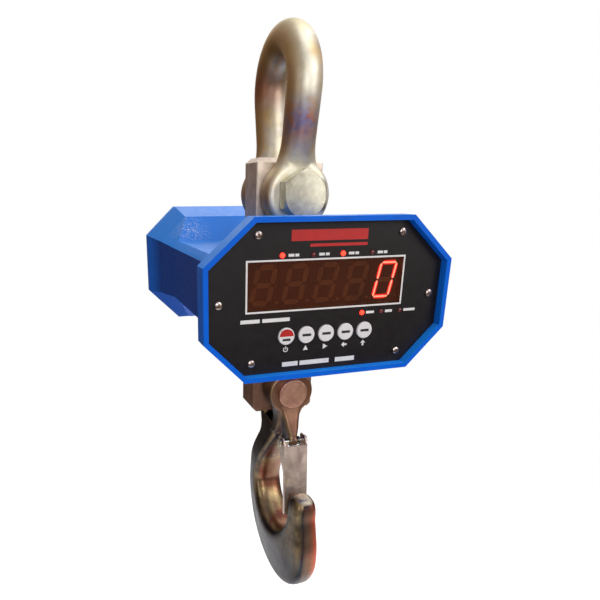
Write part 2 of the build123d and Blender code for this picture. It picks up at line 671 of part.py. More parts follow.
def hook_yoke():
    """Front and rear arms joined under the load cell by a saddle."""
    below = HOOK_PIN_Z - SADDLE_Z
    corner = 1.5                # still outside the circle the load cell's foot swings in
    body = extrude_x([
        (-EAR_OUT_Y, 0), (-EAR_OUT_Y, 20), (-30, 34), (-17, 52), (4, 76), (30, 72), (25, 52),
        (32, 32), (EAR_OUT_Y, 16), (EAR_OUT_Y, 0), (EAR_IN_Y, 0), (EAR_IN_Y, below - corner),
        (EAR_IN_Y - corner, below), (corner - EAR_IN_Y, below), (-EAR_IN_Y, below - corner),
        (-EAR_IN_Y, 0)], 24.0)
    ear_half_w = HOOK_EAR_R - 1.0
    front_widths = [(-1, ear_half_w), (10, 18.0), (19, 13.0), (30, 11.0), (46, 12.0), (78, 14.5)]
    rear_widths = [(-1, ear_half_w), (10, 17.0), (20, 11.0), (30, 8.5), (46, 9.0), (78, 14.5)]
    front = forged_arm(front_widths, -50, 2)
    rear = forged_arm(rear_widths, 0, 50)
    return body & (front + rear)


def latch_rib():
    """Narrow rib that comes straight down from the front ear and ends in the pivot lug."""
    outline = [(14.0, 15.0), (9.0, 28.0), (RIB_HALF_W + 1.0, 40.0), (RIB_HALF_W, 46.0), (RIB_HALF_W, 52.0)]
    points = [(x, -EAR_OUT_Y, HOOK_PIN_Z - below) for x, below in outline]
    points += [(-x, y, z) for x, y, z in reversed(points)]
    rib = Solid.extrude(Face(Wire.make_polygon(points)), Vector(0, 18.0, 0))
    y, z = LATCH_PIVOT_Y, LATCH_PIVOT_Z
    lug = rod(4.8, (-RIB_HALF_W, y, z), (RIB_HALF_W, y, z))
    lug += extrude_x([(y, 41.2), (-30, 34), (-24, 46), (-30, 52), (y, 50.8)], RIB_HALF_W)
    return rib + lug


def hook():
    body = loft(hook_sections()) + hook_yoke() + latch_rib()
    tip_y, tip_below = TIP_STATIONS[-1][:2]
    body += Solid.make_sphere(TIP_DOME_R, Plane((0, tip_y, HOOK_PIN_Z - tip_below - TIP_DOME_R / 2)))
    for side in (-1, 1):
        ear = rod(HOOK_EAR_R, (0, side * EAR_IN_Y, HOOK_PIN_Z), (0, side * EAR_OUT_Y, HOOK_PIN_Z))
        body += chamfer(ear.edges().filter_by(GeomType.CIRCLE), 1.4)
    body -= rod(HOOK_PIN_D / 2 + 0.1, (0, -60, HOOK_PIN_Z), (0, 60, HOOK_PIN_Z))
    body -= rod(LATCH_RIVET_R, (-20, LATCH_PIVOT_Y, LATCH_PIVOT_Z), (20, LATCH_PIVOT_Y, LATCH_PIVOT_Z))
    return body


def build_hook():
    save("hook", hook())
    head_t = 4.0
    pin = rod(HOOK_PIN_D / 2, (0, -EAR_OUT_Y - 1, HOOK_PIN_Z), (0, EAR_OUT_Y + 22, HOOK_PIN_Z))
    head = rod(13.6, (0, -EAR_OUT_Y - head_t, HOOK_PIN_Z), (0, -EAR_OUT_Y, HOOK_PIN_Z))
    head = fillet(head.edges().group_by(Axis.Y)[0], 0.8)
    hole = rod(2.1, (-30, EAR_OUT_Y + 17.5, HOOK_PIN_Z), (30, EAR_OUT_Y + 17.5, HOOK_PIN_Z))
    save("hook_pin", pin + head - hole)
    save("hook_pin_nut", hexagon_y(34.0, EAR_OUT_Y, 14.0, HOOK_PIN_Z, bore=HOOK_PIN_D / 2))
    save("hook_split_pin", split_pin(EAR_OUT_Y + 17.5, HOOK_PIN_Z, 13.0, 2.0))


# ---- Safety latch ----------------------------------------------------------------------------
LATCH_LENGTH = 70.0
LATCH_HALF_W = 11.6
LATCH_T = 1.6
LATCH_FRONT = 8.4           # front face of the latch in front of its pivot
LATCH_LEAN = 4.5            # degrees that the closed latch leans towards the tip
SPRING_WIRE_R = 0.5
SPRING_R = 3.4


def safety_latch():
    """Channel of bent sheet: a front plate and two cheeks drilled for the rivet."""
    front = -LATCH_FRONT
    inner = front + LATCH_T
    plate_top = -2.0            # below the rivet, clear of the lug of the hook
    latch = block((-LATCH_HALF_W, LATCH_HALF_W), (front, inner), (-LATCH_LENGTH, plate_top))
    cheek_outline = [(front, plate_top), (-6.4, 3.0), (-4.0, 5.4), (4.0, 5.4), (5.4, 3.0), (5.4, -7.0),
                     (inner + 2.2, -28.0), (inner + 2.2, -LATCH_LENGTH), (front, -LATCH_LENGTH)]
    for side in (-1, 1):
        x = side * LATCH_HALF_W
        cheek = Face(Wire.make_polygon([(x, y, z) for y, z in cheek_outline]))
        latch += Solid.extrude(cheek, Vector(-side * LATCH_T, 0, 0))
    latch -= rod(LATCH_RIVET_R + PIN_FIT, (-20, 0, 0), (20, 0, 0))
    latch = latch.rotate(Axis.X, -LATCH_LEAN)
    return latch.translate((0, LATCH_PIVOT_Y, LATCH_PIVOT_Z))


def latch_rivet():
    x, y, z = LATCH_HALF_W + 0.3, LATCH_PIVOT_Y, LATCH_PIVOT_Z
    rivet = rod(LATCH_RIVET_R, (-x, y, z), (x, y, z))
    for side in (-1, 1):
        rivet += rod(4.0, (side * x, y, z), (side * (x + 1.8), y, z))
    return rivet


def latch_spring():
    """Torsion spring on the rivet: one leg on the hook, the other on the inside of the latch."""
    x0 = RIB_HALF_W + 0.8
    turns = 2
    pitch = 1.1
    coil = Helix(pitch=pitch, height=turns * pitch, radius=SPRING_R)
    start = Plane(origin=coil @ 0, z_dir=coil % 0)
    spring = sweep(start * Circle(SPRING_WIRE_R), path=coil)
    spring = spring.rotate(Axis.Y, 90).translate((x0, LATCH_PIVOT_Y, LATCH_PIVOT_Z))
    x1 = x0 + turns * pitch
    low = LATCH_PIVOT_Z - SPRING_R
    hook_leg = rod(SPRING_WIRE_R, (x0, LATCH_PIVOT_Y, low), (x0, LATCH_PIVOT_Y + 14, low + 1))
    latch_leg = rod(SPRING_WIRE_R, (x1, LATCH_PIVOT_Y, low), (x1, LATCH_PIVOT_Y - 7, low - 14))
    return spring + hook_leg + latch_leg


def build_latch():
    save("safety_latch", safety_latch())
    save("latch_rivet", latch_rivet())
    save("latch_spring", latch_spring())


build_shackle()
build_load_cell()
build_housing()
build_front()
build_rear()
build_hook()
build_latch()
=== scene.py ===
"""Looks of the hanging crane scale: materials, softened castings, forgings, display and printed marks.

Metres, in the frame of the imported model: the load line is Z, +X is to the right of the display.
The object's lengths are written in millimetres and multiplied by MM; camera and lights are in metres.
"""
import json
import math
import bmesh
import bpy
from mathutils import Matrix, Vector


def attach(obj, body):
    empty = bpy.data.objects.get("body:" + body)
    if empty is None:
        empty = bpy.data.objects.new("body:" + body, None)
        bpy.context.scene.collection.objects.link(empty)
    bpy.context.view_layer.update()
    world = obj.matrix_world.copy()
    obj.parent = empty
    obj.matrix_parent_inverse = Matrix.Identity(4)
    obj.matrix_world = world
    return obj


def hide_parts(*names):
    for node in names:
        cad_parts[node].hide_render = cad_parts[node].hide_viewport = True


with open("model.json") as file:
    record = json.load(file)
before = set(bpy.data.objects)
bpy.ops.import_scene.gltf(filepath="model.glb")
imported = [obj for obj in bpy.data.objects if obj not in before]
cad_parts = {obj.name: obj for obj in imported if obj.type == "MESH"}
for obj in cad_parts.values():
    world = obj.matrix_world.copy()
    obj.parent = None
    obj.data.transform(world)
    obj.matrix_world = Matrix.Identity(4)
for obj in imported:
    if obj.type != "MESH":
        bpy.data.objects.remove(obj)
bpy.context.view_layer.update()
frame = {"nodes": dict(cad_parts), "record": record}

MM = 0.001

# Levels shared with the CAD model, in millimetres
BOLT_Z = -106.0             # middle of the shackle bolt
HOOK_PIN_Z = BOLT_Z - 173.0
CASE_Z = BOLT_Z - 73.0      # middle of the housing
PANEL_Y = -97.0             # face of the front panel
COVER_Y = 132.0             # face of the rear cover
DIGIT_FACE_Y = -92.0        # front of the digit modules
EAR_IN_Y = 15.4             # inner faces of the shackle eyes and of the hook ears
EAR_OUT_Y = EAR_IN_Y + 21.0
SHACKLE_EYE_R = 28.0
SHACKLE_BORE_R = 12.1
HOOK_EAR_R = 21.0
HOOK_BORE_R = 11.1
FORGING_PLAY = 0.05         # keeps a forging's faces just off the parts beside it
SEAT = (-23.0, -390.0)      # middle of the hook's round seat: y, z
SEAT_R = 36.0
LATCH_PIVOT = (-42.0, -325.0)
LATCH_LUG_R = 4.8
LATCH_LUG_HALF_W = 3.7
PANEL_SCREWS = [(-58.5, 47.5), (58.5, 47.5), (88.0, -1.0),
                (62.5, -47.0), (-62.5, -47.0), (-88.0, -1.0)]
FLOOR_Z = -620.0


# ---- Camera and lights -----------------------------------------------------------------------
def make_camera():
    """The photograph's viewpoint: left of the display at the bolt's height, looking a little down."""
    data = bpy.data.cameras.new("camera")
    data.sensor_width = 36.0
    data.lens = 31.98
    data.shift_x = 0.1247
    data.shift_y = 0.1073
    data.clip_start = 0.01
    data.clip_end = 50.0
    camera = bpy.data.objects.new("camera", data)
    camera.location = (-0.1923, -0.4558, -0.1011)
    camera.rotation_euler = (math.radians(90 - 18.2), 0.0, math.radians(-17.0))
    bpy.context.scene.collection.objects.link(camera)
    bpy.context.scene.camera = camera


def softbox(name, at, aim, size, power, colour=(1.0, 1.0, 1.0)):
    """Rectangular light in metres and watts, turned towards a point."""
    data = bpy.data.lights.new(name, "AREA")
    data.shape = "RECTANGLE"
    data.size, data.size_y = size
    data.energy = power
    data.color = colour
    light = bpy.data.objects.new(name, data)
    light.location = at
    light.rotation_mode = "QUATERNION"
    light.rotation_quaternion = (Vector(aim) - Vector(at)).to_track_quat("-Z", "Y")
    bpy.context.scene.collection.objects.link(light)


def make_lights():
    """Large sources above, to the right, in front and behind, and a thin one on the left."""
    middle = (0.0, 0.0, -0.2)
    softbox("overhead_softbox", (0.35, -0.15, 1.3), middle, (1.4, 1.2), 8.0)
    softbox("key_softbox", (1.0, -1.3, 0.45), middle, (0.8, 1.1), 9.5, (1.0, 0.97, 0.93))
    softbox("left_strip", (-1.5, -0.8, -0.1), middle, (0.12, 1.1), 2.3, (0.93, 0.96, 1.0))
    softbox("front_fill", (-0.25, -1.7, 0.1), middle, (0.8, 0.9), 7.5)
    softbox("back_softbox", (0.4, 1.6, 0.5), middle, (1.2, 0.9), 4.0)


def make_world():
    """White where the camera looks; elsewhere a room with a bright ceiling and a dim, warm left side."""
    world = bpy.data.worlds.new("studio")
    bpy.context.scene.world = world
    world.use_nodes = True
    tree = world.node_tree
    tree.nodes.clear()
    link = tree.links.new
    coord = tree.nodes.new("ShaderNodeTexCoord")
    split = tree.nodes.new("ShaderNodeSeparateXYZ")
    link(coord.outputs["Generated"], split.inputs[0])
    colours = []
    floor_to_ceiling = [(0.0, "#6f665e"), (0.3, "#6c6158"), (0.45, "#75685f"), (0.56, "#a8a099"),
                        (0.7, "#d6d7d9"), (1.0, "#f8f8f8")]
    left_to_right = [(0.0, "#b3a79c"), (0.3, "#a79c93"), (0.55, "#d8d4cf"), (0.8, "#ffffff")]
    for axis, stops in (("Z", floor_to_ceiling), ("X", left_to_right)):
        share = tree.nodes.new("ShaderNodeMapRange")
        share.inputs["From Min"].default_value = -1.0
        link(split.outputs[axis], share.inputs["Value"])
        ramp = tree.nodes.new("ShaderNodeValToRGB")
        fill_ramp(ramp.color_ramp, stops)
        link(share.outputs["Result"], ramp.inputs["Fac"])
        colours.append(ramp.outputs["Color"])
    both = tree.nodes.new("ShaderNodeMix")
    both.data_type = "RGBA"
    both.blend_type = "MULTIPLY"
    both.inputs[0].default_value = 1.0
    link(colours[0], both.inputs[6])
    link(colours[1], both.inputs[7])
    room = tree.nodes.new("ShaderNodeBackground")
    link(both.outputs[2], room.inputs["Color"])
    room.inputs["Strength"].default_value = 1.2
    plain = tree.nodes.new("ShaderNodeBackground")
    plain.inputs["Color"].default_value = (1.0, 1.0, 1.0, 1.0)
    path = tree.nodes.new("ShaderNodeLightPath")
    mix = tree.nodes.new("ShaderNodeMixShader")
    link(path.outputs["Is Camera Ray"], mix.inputs["Fac"])
    link(room.outputs[0], mix.inputs[1])
    link(plain.outputs[0], mix.inputs[2])
    out = tree.nodes.new("ShaderNodeOutputWorld")
    link(mix.outputs[0], out.inputs["Surface"])


# ---- Material helpers ------------------------------------------------------------------------
def srgb(code):
    """Linear colour from an sRGB code such as #8090a0."""
    parts = [int(code[i:i + 2], 16) / 255 for i in (1, 3, 5)]
    linear = [c / 12.92 if c <= 0.04045 else ((c + 0.055) / 1.055) ** 2.4 for c in parts]
    return (*linear, 1.0)


def fill_ramp(ramp, stops):
    """Give a colour ramp its stops: position and colour code."""
    while len(ramp.elements) > 1:
        ramp.elements.remove(ramp.elements[-1])
    ramp.elements[0].position = stops[0][0]
    ramp.elements[0].color = srgb(stops[0][1])
    for position, code in stops[1:]:
        ramp.elements.new(position).color = srgb(code)


class Look:
    """One procedural material; its patterns lie in the object's own space, in metres."""

    def __init__(self, name, **values):
        self.mat = bpy.data.materials.new(name)
        self.mat.use_nodes = True
        self.tree = self.mat.node_tree
        self.shader = self.tree.nodes["Principled BSDF"]
        self.coord = self.add("ShaderNodeTexCoord").outputs["Object"]
        self.heights = []
        for key, value in values.items():
            self.set(key.replace("_", " ").title().replace("Ior", "IOR"), value)

    def add(self, kind, **settings):
        node = self.tree.nodes.new(kind)
        for key, value in settings.items():
            setattr(node, key, value)
        return node

    def link(self, source, target):
        self.tree.links.new(source, target)
        return target

    def set(self, socket, value):
        if isinstance(value, str):
            value = srgb(value)
        self.shader.inputs[socket].default_value = value

    def drive(self, socket, source):
        self.link(source, self.shader.inputs[socket])

    def space(self, stretch):
        """Object coordinates multiplied by one number for each direction."""
        node = self.add("ShaderNodeMapping")
        node.inputs["Scale"].default_value = stretch
        self.link(self.coord, node.inputs["Vector"])
        return node.outputs[0]

    def noise(self, scale, detail=3.0, rough=0.5, twist=0.0, stretch=(1, 1, 1)):
        node = self.add("ShaderNodeTexNoise")
        node.inputs["Scale"].default_value = scale
        node.inputs["Detail"].default_value = detail
        node.inputs["Roughness"].default_value = rough
        node.inputs["Distortion"].default_value = twist
        self.link(self.space(stretch), node.inputs["Vector"])
        return node.outputs["Fac"]

    def cells(self, scale, stretch=(1, 1, 1)):
        node = self.add("ShaderNodeTexVoronoi")
        node.inputs["Scale"].default_value = scale
        self.link(self.space(stretch), node.inputs["Vector"])
        return node.outputs["Distance"]

    def ramp(self, source, stops):
        node = self.add("ShaderNodeValToRGB")
        fill_ramp(node.color_ramp, stops)
        self.link(source, node.inputs["Fac"])
        return node.outputs["Color"]

    def remap(self, source, low, high, start=0.3, stop=0.7):
        node = self.add("ShaderNodeMapRange")
        node.inputs["From Min"].default_value = start
        node.inputs["From Max"].default_value = stop
        node.inputs["To Min"].default_value = low
        node.inputs["To Max"].default_value = high
        self.link(source, node.inputs["Value"])
        return node.outputs["Result"]

    def mix(self, amount, first, second, blend="MIX"):
        """Blend of two colours; each may be a code or a node's output."""
        node = self.add("ShaderNodeMix", data_type="RGBA", blend_type=blend)
        for value, index in ((first, 6), (second, 7)):
            if isinstance(value, str):
                node.inputs[index].default_value = srgb(value)
            else:
                self.link(value, node.inputs[index])
        if isinstance(amount, float):
            node.inputs[0].default_value = amount
        else:
            self.link(amount, node.inputs[0])
        return node.outputs[2]

    def maths(self, operation, first, second):
        node = self.add("ShaderNodeMath", operation=operation)
        for value, index in ((first, 0), (second, 1)):
            if isinstance(value, (int, float)):
                node.inputs[index].default_value = value
            else:
                self.link(value, node.inputs[index])
        return node.outputs[0]

    def base_link(self):
        """The output that colours the material so far."""
        return self.shader.inputs["Base Color"].links[0].from_socket

    def own_normal(self):
        """Normal of the surface in the object's own space."""
        geometry = self.add("ShaderNodeNewGeometry")
        turn = self.add("ShaderNodeVectorTransform", vector_type="NORMAL",
                        convert_from="WORLD", convert_to="OBJECT")
        self.link(geometry.outputs["Normal"], turn.inputs[0])
        return turn.outputs[0]

    def facing(self, direction):
        """Cosine between the surface and a direction of the object, or 0 where the surface faces away."""
        dot = self.add("ShaderNodeVectorMath", operation="DOT_PRODUCT")
        self.link(self.own_normal(), dot.inputs[0])
        dot.inputs[1].default_value = Vector(direction).normalized()
        return self.maths("MAXIMUM", dot.outputs["Value"], 0.0)

    def turned(self, direction, start, stop, amount=1.0):
        """Nothing where facing() is below start, rising to the amount at stop."""
        return self.remap(self.facing(direction), 0.0, amount, start, stop)

    def along(self, axis, first_mm, second_mm, low=0.0, high=1.0):
        """From low to high as the place along an axis of the object goes from first_mm to second_mm."""
        split = self.add("ShaderNodeSeparateXYZ")
        self.link(self.coord, split.inputs[0])
        return self.remap(split.outputs[axis], low, high, first_mm * MM, second_mm * MM)

    def near(self, point_mm, inner_mm, outer_mm, amount=1.0):
        """The amount within inner_mm of a point, fading to nothing at outer_mm from it."""
        gap = self.add("ShaderNodeVectorMath", operation="DISTANCE")
        self.link(self.coord, gap.inputs[0])
        gap.inputs[1].default_value = Vector(point_mm) * MM
        return self.remap(gap.outputs["Value"], amount, 0.0, inner_mm * MM, outer_mm * MM)

    def product(self, *factors):
        """All the factors multiplied together."""
        result = factors[0]
        for factor in factors[1:]:
            result = self.maths("MULTIPLY", result, factor)
        return result

    def bump(self, height, depth_mm):
        """Surface relief: height from 0 to 1 stands for depth_mm; several reliefs add up."""
        node = self.add("ShaderNodeBump")
        node.inputs["Distance"].default_value = depth_mm * MM
        self.link(height, node.inputs["Height"])
        if self.heights:
            self.link(self.heights[-1], node.inputs["Normal"])
        self.heights.append(node.outputs[0])
        self.drive("Normal", node.outputs[0])


def metal(name, stops, patch_mm, rough, relief_mm=0.05, grain_mm=2.0, stretch=(1, 1, 1)):
    """Plated or bare steel: tinted patches, uneven polish and a fine relief."""
    look = Look(name, metallic=1.0)
    patches = look.noise(1000.0 / patch_mm, 3.0, 0.55, 0.6)
    tint = look.ramp(patches, stops)
    soil = look.remap(look.noise(1000.0 / (patch_mm * 0.22), 5.0, 0.65), 0.78, 1.08)
    look.drive("Base Color", look.mix(1.0, tint, grey(look, soil), "MULTIPLY"))
    polish = look.noise(1000.0 / (grain_mm * 4), 4.0, 0.6, 0.0, stretch)
    look.drive("Roughness", look.remap(polish, rough - 0.06, rough + 0.08))
    look.bump(look.noise(1000.0 / grain_mm, 4.0, 0.6, 0.0, stretch), relief_mm)
    return look


def grey(look, value):
    """A number as a colour."""
    node = look.add("ShaderNodeCombineColor")
    for index in range(3):
        look.link(value, node.inputs[index])
    return node.outputs[0]


def plastic(name, colour, other, rough, grain_mm=0.6, relief_mm=0.02, **values):
    """Moulded plastic or rubber with a fine grain and slight unevenness in colour."""
    look = Look(name, **values)
    look.drive("Base Color", look.ramp(look.noise(45.0, 4.0, 0.6), [(0.3, colour), (0.7, other)]))
    look.drive("Roughness", look.remap(look.noise(220.0, 3.0), rough - 0.05, rough + 0.06))
    look.bump(look.noise(1000.0 / grain_mm, 2.0, 0.5), relief_mm)
    return look


# ---- Materials -------------------------------------------------------------------------------
def shackle_forging():
    """Silver zinc with a painted gold reflection on the left, a painted warm brown reflection low on the
    left, red-brown inside the bow and a bluish stain in front.
    """
    look = metal("zinc_forging", [
        (0.28, "#d2c096"), (0.42, "#e2dbc0"), (0.54, "#e8e4d4"), (0.66, "#dccb9c"), (0.8, "#ccb09c")],
        60.0, 0.5, 0.08, 6.0)
    heat = look.remap(look.noise(15.0, 2.0, 0.5, 0.5), 0.0, 0.55, 0.52, 0.68)
    patina = look.ramp(look.noise(30.0, 3.0, 0.5, 0.5), [
        (0.3, "#b08468"), (0.45, "#c49a78"), (0.58, "#9a90ac"), (0.72, "#c8a466")])
    colour = look.mix(heat, look.base_link(), patina)
    # painted warm brown reflection on the faces turned low and left
    low_left = look.turned((-0.75, 0.2, -0.65), 0.25, 0.95, 0.8)
    warm = look.ramp(look.noise(30.0, 3.0, 0.6, 0.4), [
        (0.3, "#9a6e4c"), (0.5, "#c89c60"), (0.7, "#a0766c")])
    colour = look.mix(low_left, colour, warm)
    # painted gold reflection on the faces turned left, above the eyes
    above_eyes = look.along("Z", -90.0, -60.0, 0.25, 0.75)
    gold_sheen = look.product(look.turned((-1.0, 0.1, -0.05), 0.35, 1.0), above_eyes)
    colour = look.mix(gold_sheen, colour, "#c8a064")
    colour = look.mix(look.near((-6.0, 32.0, -18.0), 8.0, 26.0, 0.8), colour, "#9c5c48")
    bluish = look.ramp(look.noise(60.0, 3.0, 0.6), [
        (0.38, "#a4584c"), (0.5, "#7470a0"), (0.62, "#a88088")])
    stain = look.near((-4.0, -46.0, -54.0), 6.0, 27.0, 0.9)
    look.drive("Base Color", look.mix(stain, colour, bluish))
    return look


def throat_share(look):
    """1 on the inside of the hook, 0 on the outside: how far the surface faces the middle of the seat."""
    place = look.add("ShaderNodeVectorMath", operation="SUBTRACT")
    place.inputs[0].default_value = (0.0, SEAT[0] * MM, SEAT[1] * MM)
    look.link(look.coord, place.inputs[1])
    inward = look.add("ShaderNodeVectorMath", operation="NORMALIZE")
    look.link(place.outputs[0], inward.inputs[0])
    dot = look.add("ShaderNodeVectorMath", operation="DOT_PRODUCT")
    look.link(look.own_normal(), dot.inputs[0])
    look.link(inward.outputs[0], dot.inputs[1])
    return look.remap(dot.outputs["Value"], 0.0, 1.0, 0.35, 0.7)


def hook_forging():
    """Dark slate outside, gold and brown in the throat, painted copper reflection in front and painted
    red-orange reflection beside the tip, with painted highlights, a painted glint and painted shade
    underneath.
    """
    look = metal("hook_forging", [
        (0.28, "#12142a"), (0.42, "#1d1c24"), (0.52, "#20162a"), (0.6, "#142036"), (0.74, "#28343e")],
        34.0, 0.36, 0.14, 6.0)
    gold = look.ramp(look.noise(24.0, 4.0, 0.6, 0.5), [
        (0.3, "#7c3e30"), (0.42, "#8a5a48"), (0.52, "#a08c66"), (0.62, "#80685a"), (0.74, "#70402f")])
    colour = look.mix(throat_share(look), look.base_link(), gold)
    # painted copper reflection on the faces turned to the front
    copper = look.ramp(look.noise(26.0, 3.0, 0.6, 0.3), [
        (0.3, "#8c4c38"), (0.44, "#967060"), (0.58, "#8e7860"), (0.74, "#7a6254")])
    colour = look.mix(look.turned((0.45, -1.0, -0.1), 0.76, 0.97, 0.95), colour, copper)
    # painted warm highlight round the ears
    colour = look.mix(look.near((0.0, -34.0, HOOK_PIN_Z), 22.0, 52.0, 0.6), colour, "#a87e66")
    # painted red-orange reflection on the right-turned faces in front of the tip
    tip_front = look.near((6.0, -88.0, -415.0), 30.0, 52.0)
    right_edge = look.turned((0.7, -0.7, 0.0), 0.68, 0.93, 0.85)
    colour = look.mix(look.product(right_edge, tip_front), colour, "#c4553a")
    # painted glint: a small teal highlight on the bowl
    colour = look.mix(look.near((-14.0, -76.0, -431.0), 2.0, 16.0, 0.4), colour, "#6f929c")
    # painted shade on the faces turned down and left
    colour = look.mix(look.turned((-0.9, 0.0, -0.45), 0.4, 0.92, 0.85), colour, "#0c0f20")
    # painted highlight along the left front edge above the bowl, broken into patches
    above_bowl = look.along("Z", -440.0, -385.0, 0.12, 0.8)
    patches = look.remap(look.noise(45.0, 3.0, 0.6), 0.35, 1.0, 0.4, 0.6)
    edge_highlight = look.product(look.turned((-0.8, -0.6, 0.35), 0.72, 0.97), above_bowl, patches)
    colour = look.mix(edge_highlight, colour, "#c0a67c")
    # painted highlight on the up-turned top of the tip
    at_tip = look.along("Y", -60.0, -48.0, 0.85, 0.0)
    tip_highlight = look.product(look.turned((0.0, -0.2, 1.0), 0.6, 1.0), at_tip)
    look.drive("Base Color", look.mix(tip_highlight, colour, "#dccfb6"))
    return look


def blue_enamel():
    """Speckled blue, with painted light where it faces up and painted shade on the left of the waist, and
    scuffed at one corner.
    """
    look = Look("blue_enamel", coat_weight=0.06, coat_roughness=0.12, specular_ior_level=0.15)
    tone = look.ramp(look.noise(28.0, 3.0, 0.55), [
        (0.3, "#005ad2"), (0.55, "#0064de"), (0.75, "#0056c6")])
    specks = look.ramp(look.cells(420.0), [(0.0, "#2a8ef0"), (0.12, "#0460d4"), (0.3, "#0460d4")])
    colour = look.mix(0.3, tone, specks)
    # painted light: brighter blue where the surface faces up and left
    colour = look.mix(look.turned((-0.45, 0.0, 0.9), 0.3, 0.95, 0.9), colour, "#1e8cf8")
    # painted shade on the left-facing walls of the waist, between the rims
    shaded_left = look.turned((-1.0, 0.0, 0.0), 0.72, 0.95, 0.75)
    behind_rim = look.along("Y", -89.0, -84.0)
    inside_rims = look.along("X", -98.5, -93.0)
    colour = look.mix(look.product(shaded_left, inside_rims, behind_rim), colour, "#0a2f7e")
    scratches = look.remap(look.noise(700.0, 4.0, 0.7), 0.0, 1.0, 0.52, 0.62)
    scuffed = look.product(scratches, look.near((-68.0, 74.0, -137.0), 2.0, 26.0, 0.75))
    look.drive("Base Color", look.mix(scuffed, colour, "#d8e4f4"))
    look.drive("Roughness", look.remap(look.noise(160.0, 4.0, 0.6), 0.34, 0.46))
    look.bump(look.noise(240.0, 2.0, 0.5), 0.08)
    look.bump(look.noise(900.0, 2.0, 0.5), 0.015)
    return look


def ground_steel():
    """Plated block, pale at the top, with painted brown shade growing towards the foot."""
    look = metal("ground_steel", [(0.3, "#dccab9"), (0.5, "#f2e4d6"), (0.7, "#e4d3c2")],
                 40.0, 0.48, 0.03, 0.9, (6.0, 6.0, 0.6))
    # painted shade: darker brown towards the foot
    foot_shade = look.along("Z", -250.0, -100.0, 1.0, 0.0)
    brown = look.ramp(look.noise(35.0, 3.0), [(0.3, "#7a5a4c"), (0.5, "#a07c6a"), (0.7, "#84604e")])
    look.drive("Base Color", look.mix(foot_shade, look.base_link(), brown))
    return look


def red_window():
    """Dark red filter through which the digits show."""
    look = Look("red_window", alpha=0.5, roughness=0.08, coat_weight=0.4)
    look.drive("Base Color", look.ramp(look.noise(20.0, 2.0), [(0.35, "#4a2212"), (0.7, "#5c2a16")]))
    look.bump(look.noise(60.0, 2.0), 0.05)
    return look


def glow(name, colour, strength):
    """A lit surface, slightly uneven."""
    look = Look(name, base_color=colour, roughness=0.4)
    look.set("Emission Color", colour)
    spread = look.remap(look.noise(500.0, 2.0), strength * 0.85, strength * 1.15)
    look.drive("Emission Strength", spread)
    return look


def circuit_board():
    """Green board with a grid of paler tracks."""
    look = Look("circuit_board", coat_weight=0.3, roughness=0.35)
    tracks = look.add("ShaderNodeTexBrick")
    tracks.inputs["Scale"].default_value = 130.0
    tracks.inputs["Mortar Size"].default_value = 0.06
    tracks.inputs["Color1"].default_value = srgb("#0d4a28")
    tracks.inputs["Color2"].default_value = srgb("#0b4023")
    tracks.inputs["Mortar"].default_value = srgb("#1f7a44")
    turn = look.add("ShaderNodeMapping")
    turn.inputs["Rotation"].default_value = (math.radians(90), 0.0, 0.0)
    look.link(look.coord, turn.inputs["Vector"])
    look.link(turn.outputs[0], tracks.inputs["Vector"])
    look.drive("Base Color", tracks.outputs["Color"])
    look.bump(tracks.outputs["Fac"], 0.05)
    return look


def webbing():
    """Woven black strap."""
    look = Look("strap_webbing", roughness=0.85, sheen_weight=0.3)
    wave = look.add("ShaderNodeTexWave")
    wave.inputs["Scale"].default_value = 420.0
    wave.inputs["Distortion"].default_value = 1.5
    look.link(look.coord, wave.inputs["Vector"])
    look.drive("Base Color", look.ramp(wave.outputs["Fac"], [(0.2, "#0c0c0e"), (0.8, "#24252a")]))
    look.bump(wave.outputs["Fac"], 0.15)
    return look


